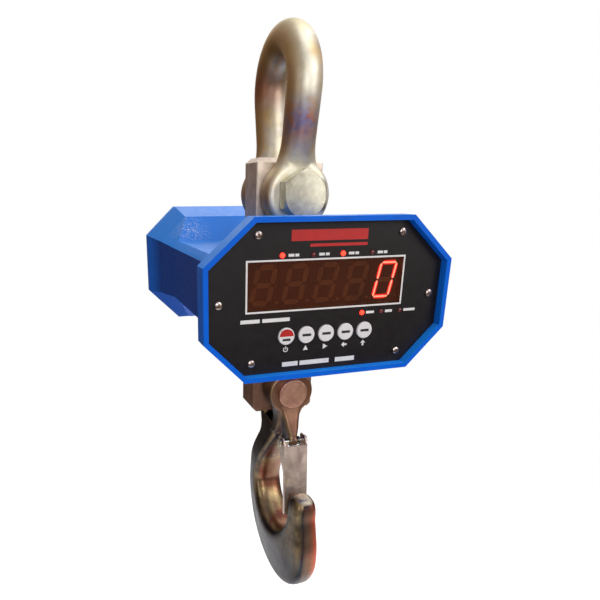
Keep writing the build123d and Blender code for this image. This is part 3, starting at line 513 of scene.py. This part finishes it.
def make_looks():
    """Every material of the record by its slot name."""
    silver = [(0.3, "#aca896"), (0.5, "#ccc9b8"), (0.7, "#b6b09c")]
    return {
        "shackle_forging": shackle_forging(),
        "shackle_bolt_steel": metal("bolt_zinc", silver, 25.0, 0.32, 0.06, 3.0),
        "nut_steel": metal("nut_zinc", [(0.3, "#8f8878"), (0.6, "#b5ad9b")], 20.0, 0.3, 0.05, 2.5),
        "split_pin_steel": metal("split_pin", [(0.3, "#7b756a"), (0.6, "#a09a8c")], 12.0, 0.35, 0.02, 1.0),
        "cell_steel": ground_steel(),
        "gauge_cover_steel": metal("gauge_cover", silver, 15.0, 0.3, 0.02, 0.8),
        "bracket_steel": metal("bracket_zinc", silver, 18.0, 0.35, 0.02, 1.0),
        "dark_screw": metal("blackened_steel", [(0.3, "#17171a"), (0.6, "#2a2a2e")], 10.0, 0.45, 0.02, 0.8),
        "seal_rubber": plastic("seal_rubber", "#0c0c0c", "#161616", 0.75, 0.8, 0.04),
        "cable_jacket": plastic("cable_jacket", "#1c1c1f", "#26262a", 0.55, 0.5, 0.02),
        "blue_enamel": blue_enamel(),
        "panel_black": plastic("panel_film", "#100c10", "#151115", 0.42, 0.35, 0.012,
                               specular_ior_level=0.35),
        "gasket_rubber": plastic("gasket_foam", "#101010", "#1b1b1b", 0.85, 0.7, 0.06),
        "bright_screw": metal("nickel_screw", [(0.3, "#9c8c8a"), (0.6, "#c8bab6")], 6.0, 0.22, 0.01, 0.6),
        "red_window": red_window(),
        "digit_plastic": plastic("digit_module", "#120a08", "#1b0f0b", 0.5, 0.4, 0.01),
        "lamp_lens": plastic("dim_lamp", "#5a1714", "#6d1d18", 0.2, 0.8, 0.01, coat_weight=0.5),
        "key_white": plastic("key_cap", "#dad9de", "#e2e1e6", 0.32, 0.5, 0.01, coat_weight=0.2),
        "switch_black": plastic("switch_case", "#0b0b0c", "#151517", 0.45),
        "circuit_board": circuit_board(),
        "standoff_brass": metal("turned_brass", [(0.3, "#a98447"), (0.6, "#c9a35c")], 8.0, 0.28, 0.01, 0.5),
        "board_parts": plastic("board_parts", "#101113", "#1c1d20", 0.5),
        "rear_enamel": blue_enamel(),
        "battery_case": plastic("battery_case", "#24262b", "#30333a", 0.5, 0.7, 0.03),
        "strap_webbing": webbing(),
        "socket_plastic": plastic("socket_plastic", "#0c0c0d", "#151516", 0.4),
        "cap_rubber": plastic("cap_rubber", "#0d0d0f", "#17171a", 0.7, 0.7, 0.04),
        "hook_forging": hook_forging(),
        "hook_pin_steel": metal("pin_steel", [(0.3, "#c49080"), (0.5, "#dcac96"), (0.7, "#c89c80")],
                                18.0, 0.42, 0.02, 0.8, (1.0, 1.0, 4.0)),
        "latch_steel": metal("latch_sheet", [(0.3, "#c4b0a8"), (0.5, "#dccbc2"), (0.7, "#c9b8a8")],
                             26.0, 0.4, 0.02, 1.4, (1.0, 1.0, 0.3)),
        "latch_rivet_steel": metal("rivet_zinc", silver, 8.0, 0.28, 0.02, 0.8),
        "spring_steel": metal("spring_wire", [(0.3, "#5f5d5a"), (0.6, "#8d8a84")], 6.0, 0.3, 0.01, 0.5),
    }


def make_print_looks():
    """Materials that only the printed marks, the digits and the lamps use."""
    return {
        "white_print": plastic("white_print", "#d9d9dc", "#e8e8ea", 0.5, 0.4, 0.004),
        "red_print": plastic("red_print", "#b01818", "#c42020", 0.45, 0.4, 0.004),
        "black_print": plastic("black_print", "#17171a", "#222226", 0.5, 0.4, 0.004),
        "dim_segment": plastic("dim_segment", "#a86a40", "#b87848", 0.5, 0.5, 0.01),
        "lit_segment": glow("lit_segment", "#ff1a10", 3.2),
        "lit_core": glow("lit_core", "#ff8a70", 7.0),
        "lit_lamp": glow("lit_lamp", "#ff2a1c", 5.0),
    }


# ---- Mesh helpers ----------------------------------------------------------------------------
def new_piece(name, mesh, body, look, smooth=30.0):
    """Object from a mesh, shaded smooth up to an angle, riding on a body."""
    piece = bpy.data.objects.new(name, mesh)
    bpy.context.scene.collection.objects.link(piece)
    mesh.materials.clear()
    mesh.materials.append(look.mat)
    for face in mesh.polygons:
        face.use_smooth = True
    mesh.set_sharp_from_angle(angle=math.radians(smooth))
    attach(piece, body)
    return piece


def clean_copy(node):
    """Copy of a CAD node's mesh with its flat faces joined up again."""
    bm = bmesh.new()
    bm.from_mesh(frame["nodes"][node].data)
    bmesh.ops.remove_doubles(bm, verts=bm.verts, dist=2e-6)
    bmesh.ops.dissolve_limit(bm, angle_limit=math.radians(0.4), verts=bm.verts, edges=bm.edges)
    mesh = bpy.data.meshes.new(node + "_softened")
    bm.to_mesh(mesh)
    bm.free()
    return mesh


def body_of_node(node):
    return next(body for body, nodes in frame["record"]["behaviour"]["bodies"].items() if node in nodes)


def slot_of_node(node):
    return next(part["material_slot"] for part in frame["record"]["subparts"] if part["node"] == node)


def soften(node, width_mm):
    """The CAD node with its sharp edges rounded, as a casting or machined part has them."""
    slot = slot_of_node(node)
    name = node + "_softened"
    piece = new_piece(name, clean_copy(node), body_of_node(node), LOOKS[slot], 35.0)
    bevel = piece.modifiers.new("edges", "BEVEL")
    bevel.width = width_mm * MM
    bevel.segments = 3
    bevel.limit_method = "ANGLE"
    bevel.angle_limit = math.radians(28.0)
    bevel.harden_normals = True
    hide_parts(node)
    return piece


def reforge(mesh, voxel_mm, passes, bore):
    """Run closed solids together into one smooth skin; bore is the radius and height of a Y hole."""
    radius, height = bore
    drill = bmesh.new()
    add_drum(drill, radius, (0, -70, height), (0, 70, height))
    drill = bpy.data.objects.new("drill", mesh_from(drill, "drill"))
    piece = bpy.data.objects.new("forging_work", mesh)
    for item in (drill, piece):
        bpy.context.scene.collection.objects.link(item)
    remesh = piece.modifiers.new("skin", "REMESH")
    remesh.mode = "VOXEL"
    remesh.voxel_size = voxel_mm * MM
    smooth = piece.modifiers.new("flow", "SMOOTH")
    smooth.factor = 0.5
    smooth.iterations = passes
    cut = piece.modifiers.new("bore", "BOOLEAN")
    cut.operation = "DIFFERENCE"
    cut.object = drill
    bpy.context.view_layer.update()
    evaluated = piece.evaluated_get(bpy.context.evaluated_depsgraph_get())
    shaped = bpy.data.meshes.new_from_object(evaluated)
    for item in (drill, piece):
        bpy.data.objects.remove(item)
    return shaped


def add_rings(bm, rings):
    """Closed skin through rings of equal point count, capped at both ends."""
    made = [[bm.verts.new(point) for point in ring] for ring in rings]
    count = len(made[0])
    for low, high in zip(made, made[1:]):
        for i in range(count):
            j = (i + 1) % count
            bm.faces.new((low[i], low[j], high[j], high[i]))
    bm.faces.new(made[0][::-1])
    bm.faces.new(made[-1])


def add_drum(bm, radius, start, end, steps=64, rounding=0.0):
    """Round bar between two points, with rounded rims."""
    axis = Vector(end) - Vector(start)
    turn = axis.to_track_quat("Z", "Y").to_matrix()
    length = axis.length
    profile = [(radius, rounding), (radius, length - rounding)]
    if rounding:
        profile = [(radius - rounding * (1 - math.sin(a)), rounding * (1 - math.cos(a)))
                   for a in (0.0, math.radians(30), math.radians(60))]
        profile += [(radius, rounding), (radius, length - rounding)]
        profile += [(r, length - t) for r, t in profile[:3][::-1]]
    rings = []
    for r, t in profile:
        ring = []
        for i in range(steps):
            angle = math.tau * i / steps
            ring.append(Vector(start) + turn @ Vector((r * math.cos(angle), r * math.sin(angle), t)))
        rings.append([point * MM for point in ring])
    add_rings(bm, rings)


def mesh_from(bm, name):
    bmesh.ops.recalc_face_normals(bm, faces=bm.faces)
    mesh = bpy.data.meshes.new(name)
    bm.to_mesh(mesh)
    bm.free()
    return mesh


def smooth_path(points, per_span):
    """Catmull-Rom curve through tuples of numbers."""
    def blend(a, b, c, d, t):
        square = (2 * a - 5 * b + 4 * c - d) * t * t
        cube = (3 * b - a - 3 * c + d) * t ** 3
        return 0.5 * (2 * b + (c - a) * t + square + cube)

    def at(before, start, stop, after, t):
        return tuple(blend(*values, t) for values in zip(before, start, stop, after))

    padded = [points[0]] + list(points) + [points[-1]]
    curve = []
    for i in range(1, len(padded) - 2):
        for step in range(per_span):
            curve.append(at(*padded[i - 1:i + 3], step / per_span))
    return curve + [tuple(points[-1])]


# ---- Hook forging ----------------------------------------------------------------------------
# Rungs from the inside to the outside of the hook: inner y, inner z, outer y, outer z, then the
# half width at the inside and at the outside.
BACK_RUNGS = [
    (-29.0, -317.5, 27.0, -318.5, 10.0, 6.5),
    (-25.0, -322.0, 24.0, -325.0, 11.0, 7.0),
    (-18.5, -334.0, 24.5, -339.0, 13.0, 7.5),
    (-11.0, -345.5, 33.0, -352.0, 15.0, 8.0),
    (-3.0, -357.5, 41.5, -364.0, 16.3, 8.3),
    (6.0, -371.0, 47.5, -377.0, 17.0, 8.6),
]
# Round the seat: degrees below the level, reach of the outside from the middle of the seat, half widths.
SEAT_RUNGS = [
    (0, 72.0, 17.3, 8.8), (18, 76.5, 17.4, 9.0), (36, 80.2, 17.6, 9.6), (54, 83.4, 17.8, 10.4),
    (72, 86.4, 17.8, 11.0), (90, 89.0, 17.6, 11.4), (106, 90.2, 17.2, 11.4), (122, 88.6, 16.6, 11.4),
    (138, 81.8, 15.8, 11.0), (153, 72.0, 14.8, 10.6), (167, 63.6, 13.6, 10.2), (180, 59.4, 12.8, 9.9),
]
TIP_RUNGS = [
    (-58.8, -381.0, -82.0, -381.0, 12.0, 10.2),
    (-60.8, -374.5, -81.2, -374.5, 10.6, 9.4),
    (-63.4, -370.2, -79.2, -370.2, 8.4, 7.6),
    (-66.6, -368.0, -76.0, -368.0, 5.2, 4.8),
]


def hook_rungs():
    """Rungs from the crotch round the seat to the tip."""
    rungs = list(BACK_RUNGS)
    for turn, reach, inner_w, outer_w in SEAT_RUNGS:
        across = math.cos(math.radians(turn))
        down = math.sin(math.radians(turn))
        inner = (SEAT[0] + SEAT_R * across, SEAT[1] - SEAT_R * down)
        outer = (SEAT[0] + reach * across, SEAT[1] - reach * down)
        rungs.append((*inner, *outer, inner_w, outer_w))
    return smooth_path(rungs + TIP_RUNGS, 4)


def rung_ring(rung, corner=0.384, crown=1.8, steps=6):
    """Rounded trapezoid across the forging, wide on the inside, where it is crowned by crown mm."""
    inner = Vector((0.0, rung[0], rung[1]))
    outer = Vector((0.0, rung[2], rung[3]))
    depth = (outer - inner).length
    out = (outer - inner) / depth
    corners = [(-rung[4], 0.0), (rung[4], 0.0), (rung[5], depth), (-rung[5], depth)]
    ring = []
    for index, here in enumerate(corners):
        before = Vector(corners[index - 1])
        after = Vector(corners[(index + 1) % 4])
        here = Vector(here)
        reach = corner * min((before - here).length, (after - here).length)
        a = here + (before - here).normalized() * reach
        b = here + (after - here).normalized() * reach
        for step in range(steps + 1):
            t = step / steps
            ring.append(a * (1 - t) ** 2 + here * 2 * t * (1 - t) + b * t * t)
    points = []
    for x, along in ring:
        rise = crown * (1 - (x / rung[4]) ** 2) * (1 - along / depth)
        points.append((inner + out * (along - rise) + Vector((x, 0.0, 0.0))) * MM)
    return points


def slab_ring(y0, y1, half_w, z, corner=4.0, steps=4):
    """Level rounded rectangle for the arms and the rib."""
    corner = min(corner, half_w * 0.9, (y1 - y0) * 0.45)
    ring = []
    for cx, cy, start in ((half_w, y1, 0), (-half_w, y1, 90), (-half_w, y0, 180), (half_w, y0, 270)):
        mx = cx - math.copysign(corner, cx)
        my = cy - math.copysign(corner, cy - (y0 + y1) / 2)
        for step in range(steps + 1):
            angle = math.radians(start + 90 * step / steps)
            ring.append(Vector((mx + corner * math.cos(angle), my + corner * math.sin(angle), z)) * MM)
    return ring


def hook_mesh():
    """Two forked arms with ears for the pin, a rib for the latch and the bowl, in one forging."""
    bm = bmesh.new()
    add_rings(bm, [rung_ring(rung) for rung in hook_rungs()])
    # Rows of the arms and of the rib: near y, far y, half width, z
    front_arm = [
        (-36.3, -15.5, 20.0, HOOK_PIN_Z), (-36.3, -15.5, 16.5, -288.0), (-36.2, -15.5, 12.6, -297.0),
        (-33.0, -15.5, 10.6, -307.0), (-29.0, -13.0, 10.4, -317.0), (-25.0, -10.0, 11.0, -324.0)]
    rear_arm = [
        (15.5, 36.3, 20.0, HOOK_PIN_Z), (15.5, 36.3, 15.0, -289.0), (15.5, 35.5, 10.0, -300.0),
        (14.5, 31.5, 7.8, -311.0), (9.0, 27.0, 7.2, -320.0), (4.0, 24.0, 7.4, -328.0)]
    rib = [
        (-36.3, -20.0, 14.0, -290.0), (-38.0, -20.0, 10.2, -297.0), (-40.5, -20.0, 8.0, -305.0),
        (-43.0, -20.0, 6.6, -313.0), (-45.4, -20.0, 4.6, -320.0), (-46.0, -20.0, 3.7, -325.0),
        (-40.0, -20.0, 3.7, -331.0)]
    for arm in (front_arm, rear_arm, rib):
        rows = smooth_path(arm, 4)
        add_rings(bm, [slab_ring(*row) for row in rows])
    for side in (-1, 1):
        inner_face = (0, side * (EAR_IN_Y + FORGING_PLAY), HOOK_PIN_Z)
        outer_face = (0, side * (EAR_OUT_Y - FORGING_PLAY), HOOK_PIN_Z)
        add_drum(bm, HOOK_EAR_R, inner_face, outer_face, 72, 1.6)
    y, z = LATCH_PIVOT
    add_drum(bm, LATCH_LUG_R, (-LATCH_LUG_HALF_W, y, z), (LATCH_LUG_HALF_W, y, z), 32)
    return reforge(mesh_from(bm, "hook_solids"), 0.9, 6, (HOOK_BORE_R, HOOK_PIN_Z))


# ---- Small shapes ----------------------------------------------------------------------------
def upright_ring(x, y, z, radius):
    """24 points round x, z in the plane at y; z is from the middle of the housing."""
    ring = []
    for i in range(24):
        angle = math.tau * i / 24
        point = Vector((x + radius * math.cos(angle), y, CASE_Z + z + radius * math.sin(angle)))
        ring.append(point * MM)
    return ring


def screw_mesh(places, y, outwards, head_r=3.0):
    """Pan heads, each with a fine cross on top; outwards is -1 at the front and +1 at the rear."""
    bm = bmesh.new()
    for x, z in places:
        rings = []
        for share in (1.0, 1.0, 0.93, 0.78, 0.55, 0.3):
            rise = 0.0 if not rings else 0.9 + 1.0 * math.sqrt(max(0.0, 1 - share * share))
            rings.append(upright_ring(x, y + outwards * rise, z, head_r * share))
        add_rings(bm, rings)
        for turn in (28.0, 118.0):
            matrix = (Matrix.Translation(Vector((x, y + outwards * 1.75, CASE_Z + z)) * MM)
                      @ Matrix.Rotation(math.radians(turn), 4, "Y")
                      @ Matrix.Diagonal((3.4 * MM, 0.42 * MM, 0.55 * MM, 1.0)))
            bmesh.ops.create_cube(bm, size=1.0, matrix=matrix)
    return mesh_from(bm, "screws")


def add_plate(bm, outline, y, thick):
    """Flat shape in the panel's plane; outline is x, z from the middle of the housing."""
    rings = [[Vector((x, depth, CASE_Z + z)) * MM for x, z in outline] for depth in (y, y - thick)]
    add_rings(bm, rings)


def bar(x, z, width, height):
    """Outline of a small bar with its left end at x and its middle at z."""
    low, high = z - height / 2, z + height / 2
    return [(x, low), (x + width, low), (x + width, high), (x, high)]


def disc(x, z, radius, steps=24, start=0.0, stop=360.0):
    """Outline of a round plate, or the points of an arc from start to stop in degrees."""
    count = steps if stop - start >= 360.0 else steps + 1
    points = []
    for i in range(count):
        angle = math.radians(start + (stop - start) * i / steps)
        points.append((x + radius * math.cos(angle), z + radius * math.sin(angle)))
    return points


def arc_band(x, z, r_in, r_out, start, stop, steps=16):
    """Outline of a ring or of a part of one."""
    outer = disc(x, z, r_out, steps, start, stop)
    inner = disc(x, z, r_in, steps, start, stop)
    return outer[:steps + 1] + inner[:steps + 1][::-1]


def plates_mesh(shapes, y, thick=0.12):
    """One mesh of flat shapes in the panel's plane."""
    bm = bmesh.new()
    for outline in shapes:
        add_plate(bm, outline, y, thick)
    return mesh_from(bm, "plates")


# ---- Digits, lamps and printed marks ---------------------------------------------------------
DIGIT_X = [49.8 - 25.4 * i for i in range(5)]   # the lit one first
DIGIT_Z = 10.7
DIGIT_HALF_W = 6.7
DIGIT_HALF_H = 13.2
UNLIT_W = 3.9               # widths of a segment: dark, lit, and the bright line inside a lit one
LIT_W = 3.4
CORE_W = 1.3
DOT_R = 1.3
DOT_OFFSET = 10.6           # the dot is this far to the right of its digit's middle
INK = 0.05                  # thickness of a printed mark
SLANT = math.tan(math.radians(12.0))
TOP_LAMPS = [(-39.5 + i * 24.4, 32.6) for i in range(4)]
LOW_LAMPS = [(29.0 + i * 16.9, -13.6) for i in range(3)]
LIT_LAMPS = [TOP_LAMPS[0], TOP_LAMPS[2], LOW_LAMPS[0]]
# Radius and height above the panel
LAMP_PROFILE = ((1.85, -4.0), (1.85, 0.1), (1.7, 0.55), (1.3, 0.95), (0.7, 1.2), (0.2, 1.28))
KEYS = {"power": -34.6, "zero": -18.0, "tare": -1.4, "hold": 15.2, "function": 31.8}
KEY_Z = -27.6
KEY_R = 6.6
KEY_FACE_Y = PANEL_Y - 1.5
WINDOW = (-66.0, 62.0, -7.5, 28.5)              # left, right, foot, top


def segment(name, x, width):
    """Outline of one pointed segment of a slanted digit; a is the top, then clockwise, g is the middle."""
    w, h, half = DIGIT_HALF_W, DIGIT_HALF_H, width / 2
    gap = 0.45
    ends = {"a": ((-w, h), (w, h)), "b": ((w, h), (w, 0)), "c": ((w, 0), (w, -h)), "d": ((w, -h), (-w, -h)),
            "e": ((-w, -h), (-w, 0)), "f": ((-w, 0), (-w, h)), "g": ((-w, 0), (w, 0))}[name]
    first, last = Vector(ends[0]), Vector(ends[1])
    along = (last - first).normalized()
    across = Vector((-along.y, along.x)) * half
    first += along * gap
    last -= along * gap
    outline = [first, first + along * half - across, last - along * half - across,
               last, last - along * half + across, first + along * half + across]
    return [(x + point.x + SLANT * point.y, DIGIT_Z + point.y) for point in outline]


def show_digits():
    """Seven-segment figures behind the window; the last one shows a zero."""
    unlit = [segment(name, x, UNLIT_W) for x in DIGIT_X[1:] for name in "abcdefg"]
    unlit.append(segment("g", DIGIT_X[0], UNLIT_W))
    unlit += [disc(x + DOT_OFFSET, DIGIT_Z - DIGIT_HALF_H, DOT_R) for x in DIGIT_X]
    lit = [segment(name, DIGIT_X[0], LIT_W) for name in "abcdef"]
    core = [segment(name, DIGIT_X[0], CORE_W) for name in "abcdef"]
    for name, shapes, lift, look in (
            ("digit_segments_unlit", unlit, 0.05, "dim_segment"),
            ("digit_segments_lit", lit, 0.05, "lit_segment"),
            ("digit_segments_core", core, 0.2, "lit_core")):
        mesh = plates_mesh(shapes, DIGIT_FACE_Y - lift)
        new_piece(name, mesh, "scale", PRINTS[look])


def lamp_mesh(places):
    """Domed lamp lenses standing a little proud of the panel."""
    bm = bmesh.new()
    for x, z in places:
        rings = []
        for radius, rise in LAMP_PROFILE:
            rings.append(upright_ring(x, PANEL_Y - rise, z, radius))
        add_rings(bm, rings)
    return mesh_from(bm, "lamps")


def show_lamps():
    """Lit and dim lenses in place of the CAD model's lamps."""
    dim = [lamp for lamp in TOP_LAMPS + LOW_LAMPS if lamp not in LIT_LAMPS]
    lit_piece = new_piece("lamps_lit", lamp_mesh(LIT_LAMPS), "scale", PRINTS["lit_lamp"])
    dim_piece = new_piece("lamps_dim", lamp_mesh(dim), "scale", LOOKS["lamp_lens"])
    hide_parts("indicator_lamps")
    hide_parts("indicator_lamps")


def print_on(name, shapes, face_y, body, look):
    """Flat ink shapes on a face of the panel or of a key."""
    mesh = plates_mesh(shapes, face_y - 0.01, INK)
    new_piece(name, mesh, body, PRINTS[look])


def frame_strips(left, right, foot, top, width):
    """Four strips round a rectangle, outside it."""
    return [bar(left - width, top + width / 2, right - left + 2 * width, width),
            bar(left - width, foot - width / 2, right - left + 2 * width, width),
            bar(left - width, (top + foot) / 2, width, top - foot),
            bar(right, (top + foot) / 2, width, top - foot)]


def dashes(x, z, widths, height, gap=1.3):
    """Row of plain bars that stands for a line of lettering."""
    row = []
    for width in widths:
        row.append(bar(x, z, width, height))
        x += width + gap
    return row


def key_icons():
    """Function marks under the keys: power ring, up, right, left and up arrows."""
    z = -38.2
    power, zero, tare, hold, function = KEYS.values()
    icons = [arc_band(power, z, 1.35, 2.0, 120, 420), bar(power - 0.3, z + 1.3, 0.6, 2.4)]
    icons.append([(zero - 2.1, z - 1.7), (zero + 2.1, z - 1.7), (zero, z + 2.1)])
    icons.append([(tare - 1.8, z - 2.1), (tare + 2.1, z), (tare - 1.8, z + 2.1)])
    icons += [[(hold - 2.5, z), (hold, z - 2.2), (hold, z + 2.2)], bar(hold, z, 2.4, 1.5)]
    icons.append([(function - 2.2, z), (function + 2.2, z), (function, z + 2.5)])
    icons.append(bar(function - 0.75, z - 1.1, 1.5, 2.2))
    return icons


def print_panel():
    """White and red marks on the panel, with bars in place of any lettering."""
    white = frame_strips(*WINDOW, 1.3)
    for x, z in TOP_LAMPS:
        white += dashes(x + 4.6, z, (4.6, 3.0), 2.0, 0.8)
    for (x, z), width in zip(LOW_LAMPS, (7.0, 6.4, 10.5)):
        white += dashes(x + 3.6, z, (width,), 2.0)
    white += dashes(-71.0, -14.6, (15.0, 22.0), 2.8, 2.0)
    white += dashes(-37.0, -50.0, (13.0, 25.0), 3.6, 1.6) + dashes(8.0, -50.0, (17.0,), 3.6)
    white += key_icons()
    print_on("panel_print_white", white, PANEL_Y, "scale", "white_print")
    red = [bar(-33.0, 46.5, 62.0, 8.0), bar(-18.0, 39.3, 47.0, 2.2)]
    print_on("panel_print_red", red, PANEL_Y, "scale", "red_print")


def print_keys():
    """Printed marks on the round keys: a red half on the first and a dark bar on each."""
    for name, x in KEYS.items():
        dark = [bar(x - 3.6, KEY_Z, 7.2, 2.0)]
        if name == "power":
            dark = [bar(x - 3.2, KEY_Z - 2.6, 6.4, 1.8)]
            half = [disc(x, KEY_Z, KEY_R - 0.9, 24, 0.0, 180.0)]
            print_on("key_power_red", half, KEY_FACE_Y, "key_power_cap", "red_print")
        print_on(f"key_{name}_mark", dark, KEY_FACE_Y, f"key_{name}_cap", "black_print")


# ---- Replaced pieces -------------------------------------------------------------------------
def dress_cad_nodes():
    """Give every CAD node the material of its slot."""
    for part in frame["record"]["subparts"]:
        node = frame["nodes"][part["node"]]
        node.data.materials.clear()
        node.data.materials.append(LOOKS[part["material_slot"]].mat)


# Nodes shown with rounded edges, and the width of the rounding
EDGE_ROUNDING = {
    "load_cell": 0.8, "shackle_bolt": 0.6, "shackle_nut": 0.6, "housing_body": 0.9, "front_panel": 0.2,
    "rear_cover": 0.4, "hook_pin": 0.3, "hook_pin_nut": 0.5, "safety_latch": 0.4, "latch_rivet": 0.6,
    "battery_pack": 0.4, "battery_tray": 0.3, "charge_socket": 0.3, "charge_cap": 0.5}


def bow_mesh():
    """Bent round bar that spreads and flattens into a thick eye at each foot."""
    crown_r, crown_z, dip = 36.0, -22.0, 9.8
    # Rows of a foot: y, z, half width, half thickness
    foot = [(25.9, -104.0, 27.3, 10.2), (25.9, -94.0, 24.6, 10.3), (26.0, -84.0, 19.0, 10.8),
            (27.4, -74.5, 15.4, 11.9), (29.2, -64.5, 13.9, 13.1), (30.9, -55.0, 13.7, 13.8),
            (32.6, -45.0, 13.8, 14.0)]
    path = list(foot)
    for step in range(13):
        angle = math.radians(-dip + (180 + 2 * dip) * step / 12)
        path.append((crown_r * math.cos(angle), crown_z + crown_r * math.sin(angle), 14.0, 14.0))
    path += [(-y, z, half_w, half_d) for y, z, half_w, half_d in reversed(foot)]
    path = smooth_path(path, 4)
    rings = []
    for index, (y, z, half_w, half_d) in enumerate(path):
        before = path[max(index - 1, 0)]
        after = path[min(index + 1, len(path) - 1)]
        along = Vector((0.0, after[0] - before[0], after[1] - before[1])).normalized()
        across = Vector((0.0, -along.z, along.y))
        ring = []
        for step in range(48):
            angle = math.tau * step / 48
            middle = Vector((half_w * math.cos(angle), y, z))
            ring.append((middle + across * half_d * math.sin(angle)) * MM)
        rings.append(ring)
    bm = bmesh.new()
    add_rings(bm, rings)
    for side in (-1, 1):
        inner_face = (0, side * EAR_IN_Y, BOLT_Z)
        outer_face = (0, side * EAR_OUT_Y, BOLT_Z)
        add_drum(bm, SHACKLE_EYE_R, inner_face, outer_face, 96, 4.5)
    return reforge(mesh_from(bm, "bow_solids"), 1.1, 8, (SHACKLE_BORE_R, BOLT_Z))


def make_forgings():
    """The two forgings, each in place of its CAD node."""
    for name, mesh, body, slot, node in (
            ("shackle_bow_forging", bow_mesh(), "shackle", "shackle_forging", "shackle_bow"),
            ("hook_forging", hook_mesh(), "hook_block", "hook_forging", "hook")):
        piece = new_piece(name, mesh, body, LOOKS[slot], 60.0)
        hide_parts(node)


def make_screws():
    """Domed, crossed heads in place of the CAD model's screws, at the front and at the rear."""
    for name, y, outwards, node in (("panel_screws", PANEL_Y, -1, "front_panel_screws"),
                                    ("cover_screws", COVER_Y, 1, "rear_cover_screws")):
        mesh = screw_mesh(PANEL_SCREWS, y, outwards)
        screws = new_piece(name, mesh, "scale", LOOKS["bright_screw"])
        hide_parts(node)


def make_floor():
    """Pale studio floor that fades into the white room."""
    bm = bmesh.new()
    size = 6.0
    corners = [(-size, -size), (size, -size), (size, size), (-size, size)]
    bm.faces.new([bm.verts.new((x, y, FLOOR_Z * MM)) for x, y in corners])
    mesh = mesh_from(bm, "floor")
    floor = bpy.data.objects.new("floor", mesh)
    bpy.context.scene.collection.objects.link(floor)
    look = Look("floor_paint", roughness=0.9, emission_color="#ffffff", emission_strength=0.35)
    look.drive("Base Color", look.ramp(look.noise(1.5, 2.0), [(0.3, "#f7f7f7"), (0.7, "#ffffff")]))
    length = look.add("ShaderNodeVectorMath", operation="LENGTH")
    look.link(look.coord, length.inputs[0])
    look.drive("Alpha", look.remap(length.outputs["Value"], 1.0, 0.0, 0.66, 0.9))
    mesh.materials.append(look.mat)


make_camera()
make_lights()
make_world()
bpy.context.scene.view_settings.view_transform = "Standard"
LOOKS = make_looks()
PRINTS = make_print_looks()
dress_cad_nodes()
for node_name, rounding in EDGE_ROUNDING.items():
    soften(node_name, rounding)
make_forgings()
make_screws()
show_digits()
show_lamps()
print_panel()
print_keys()
make_floor()
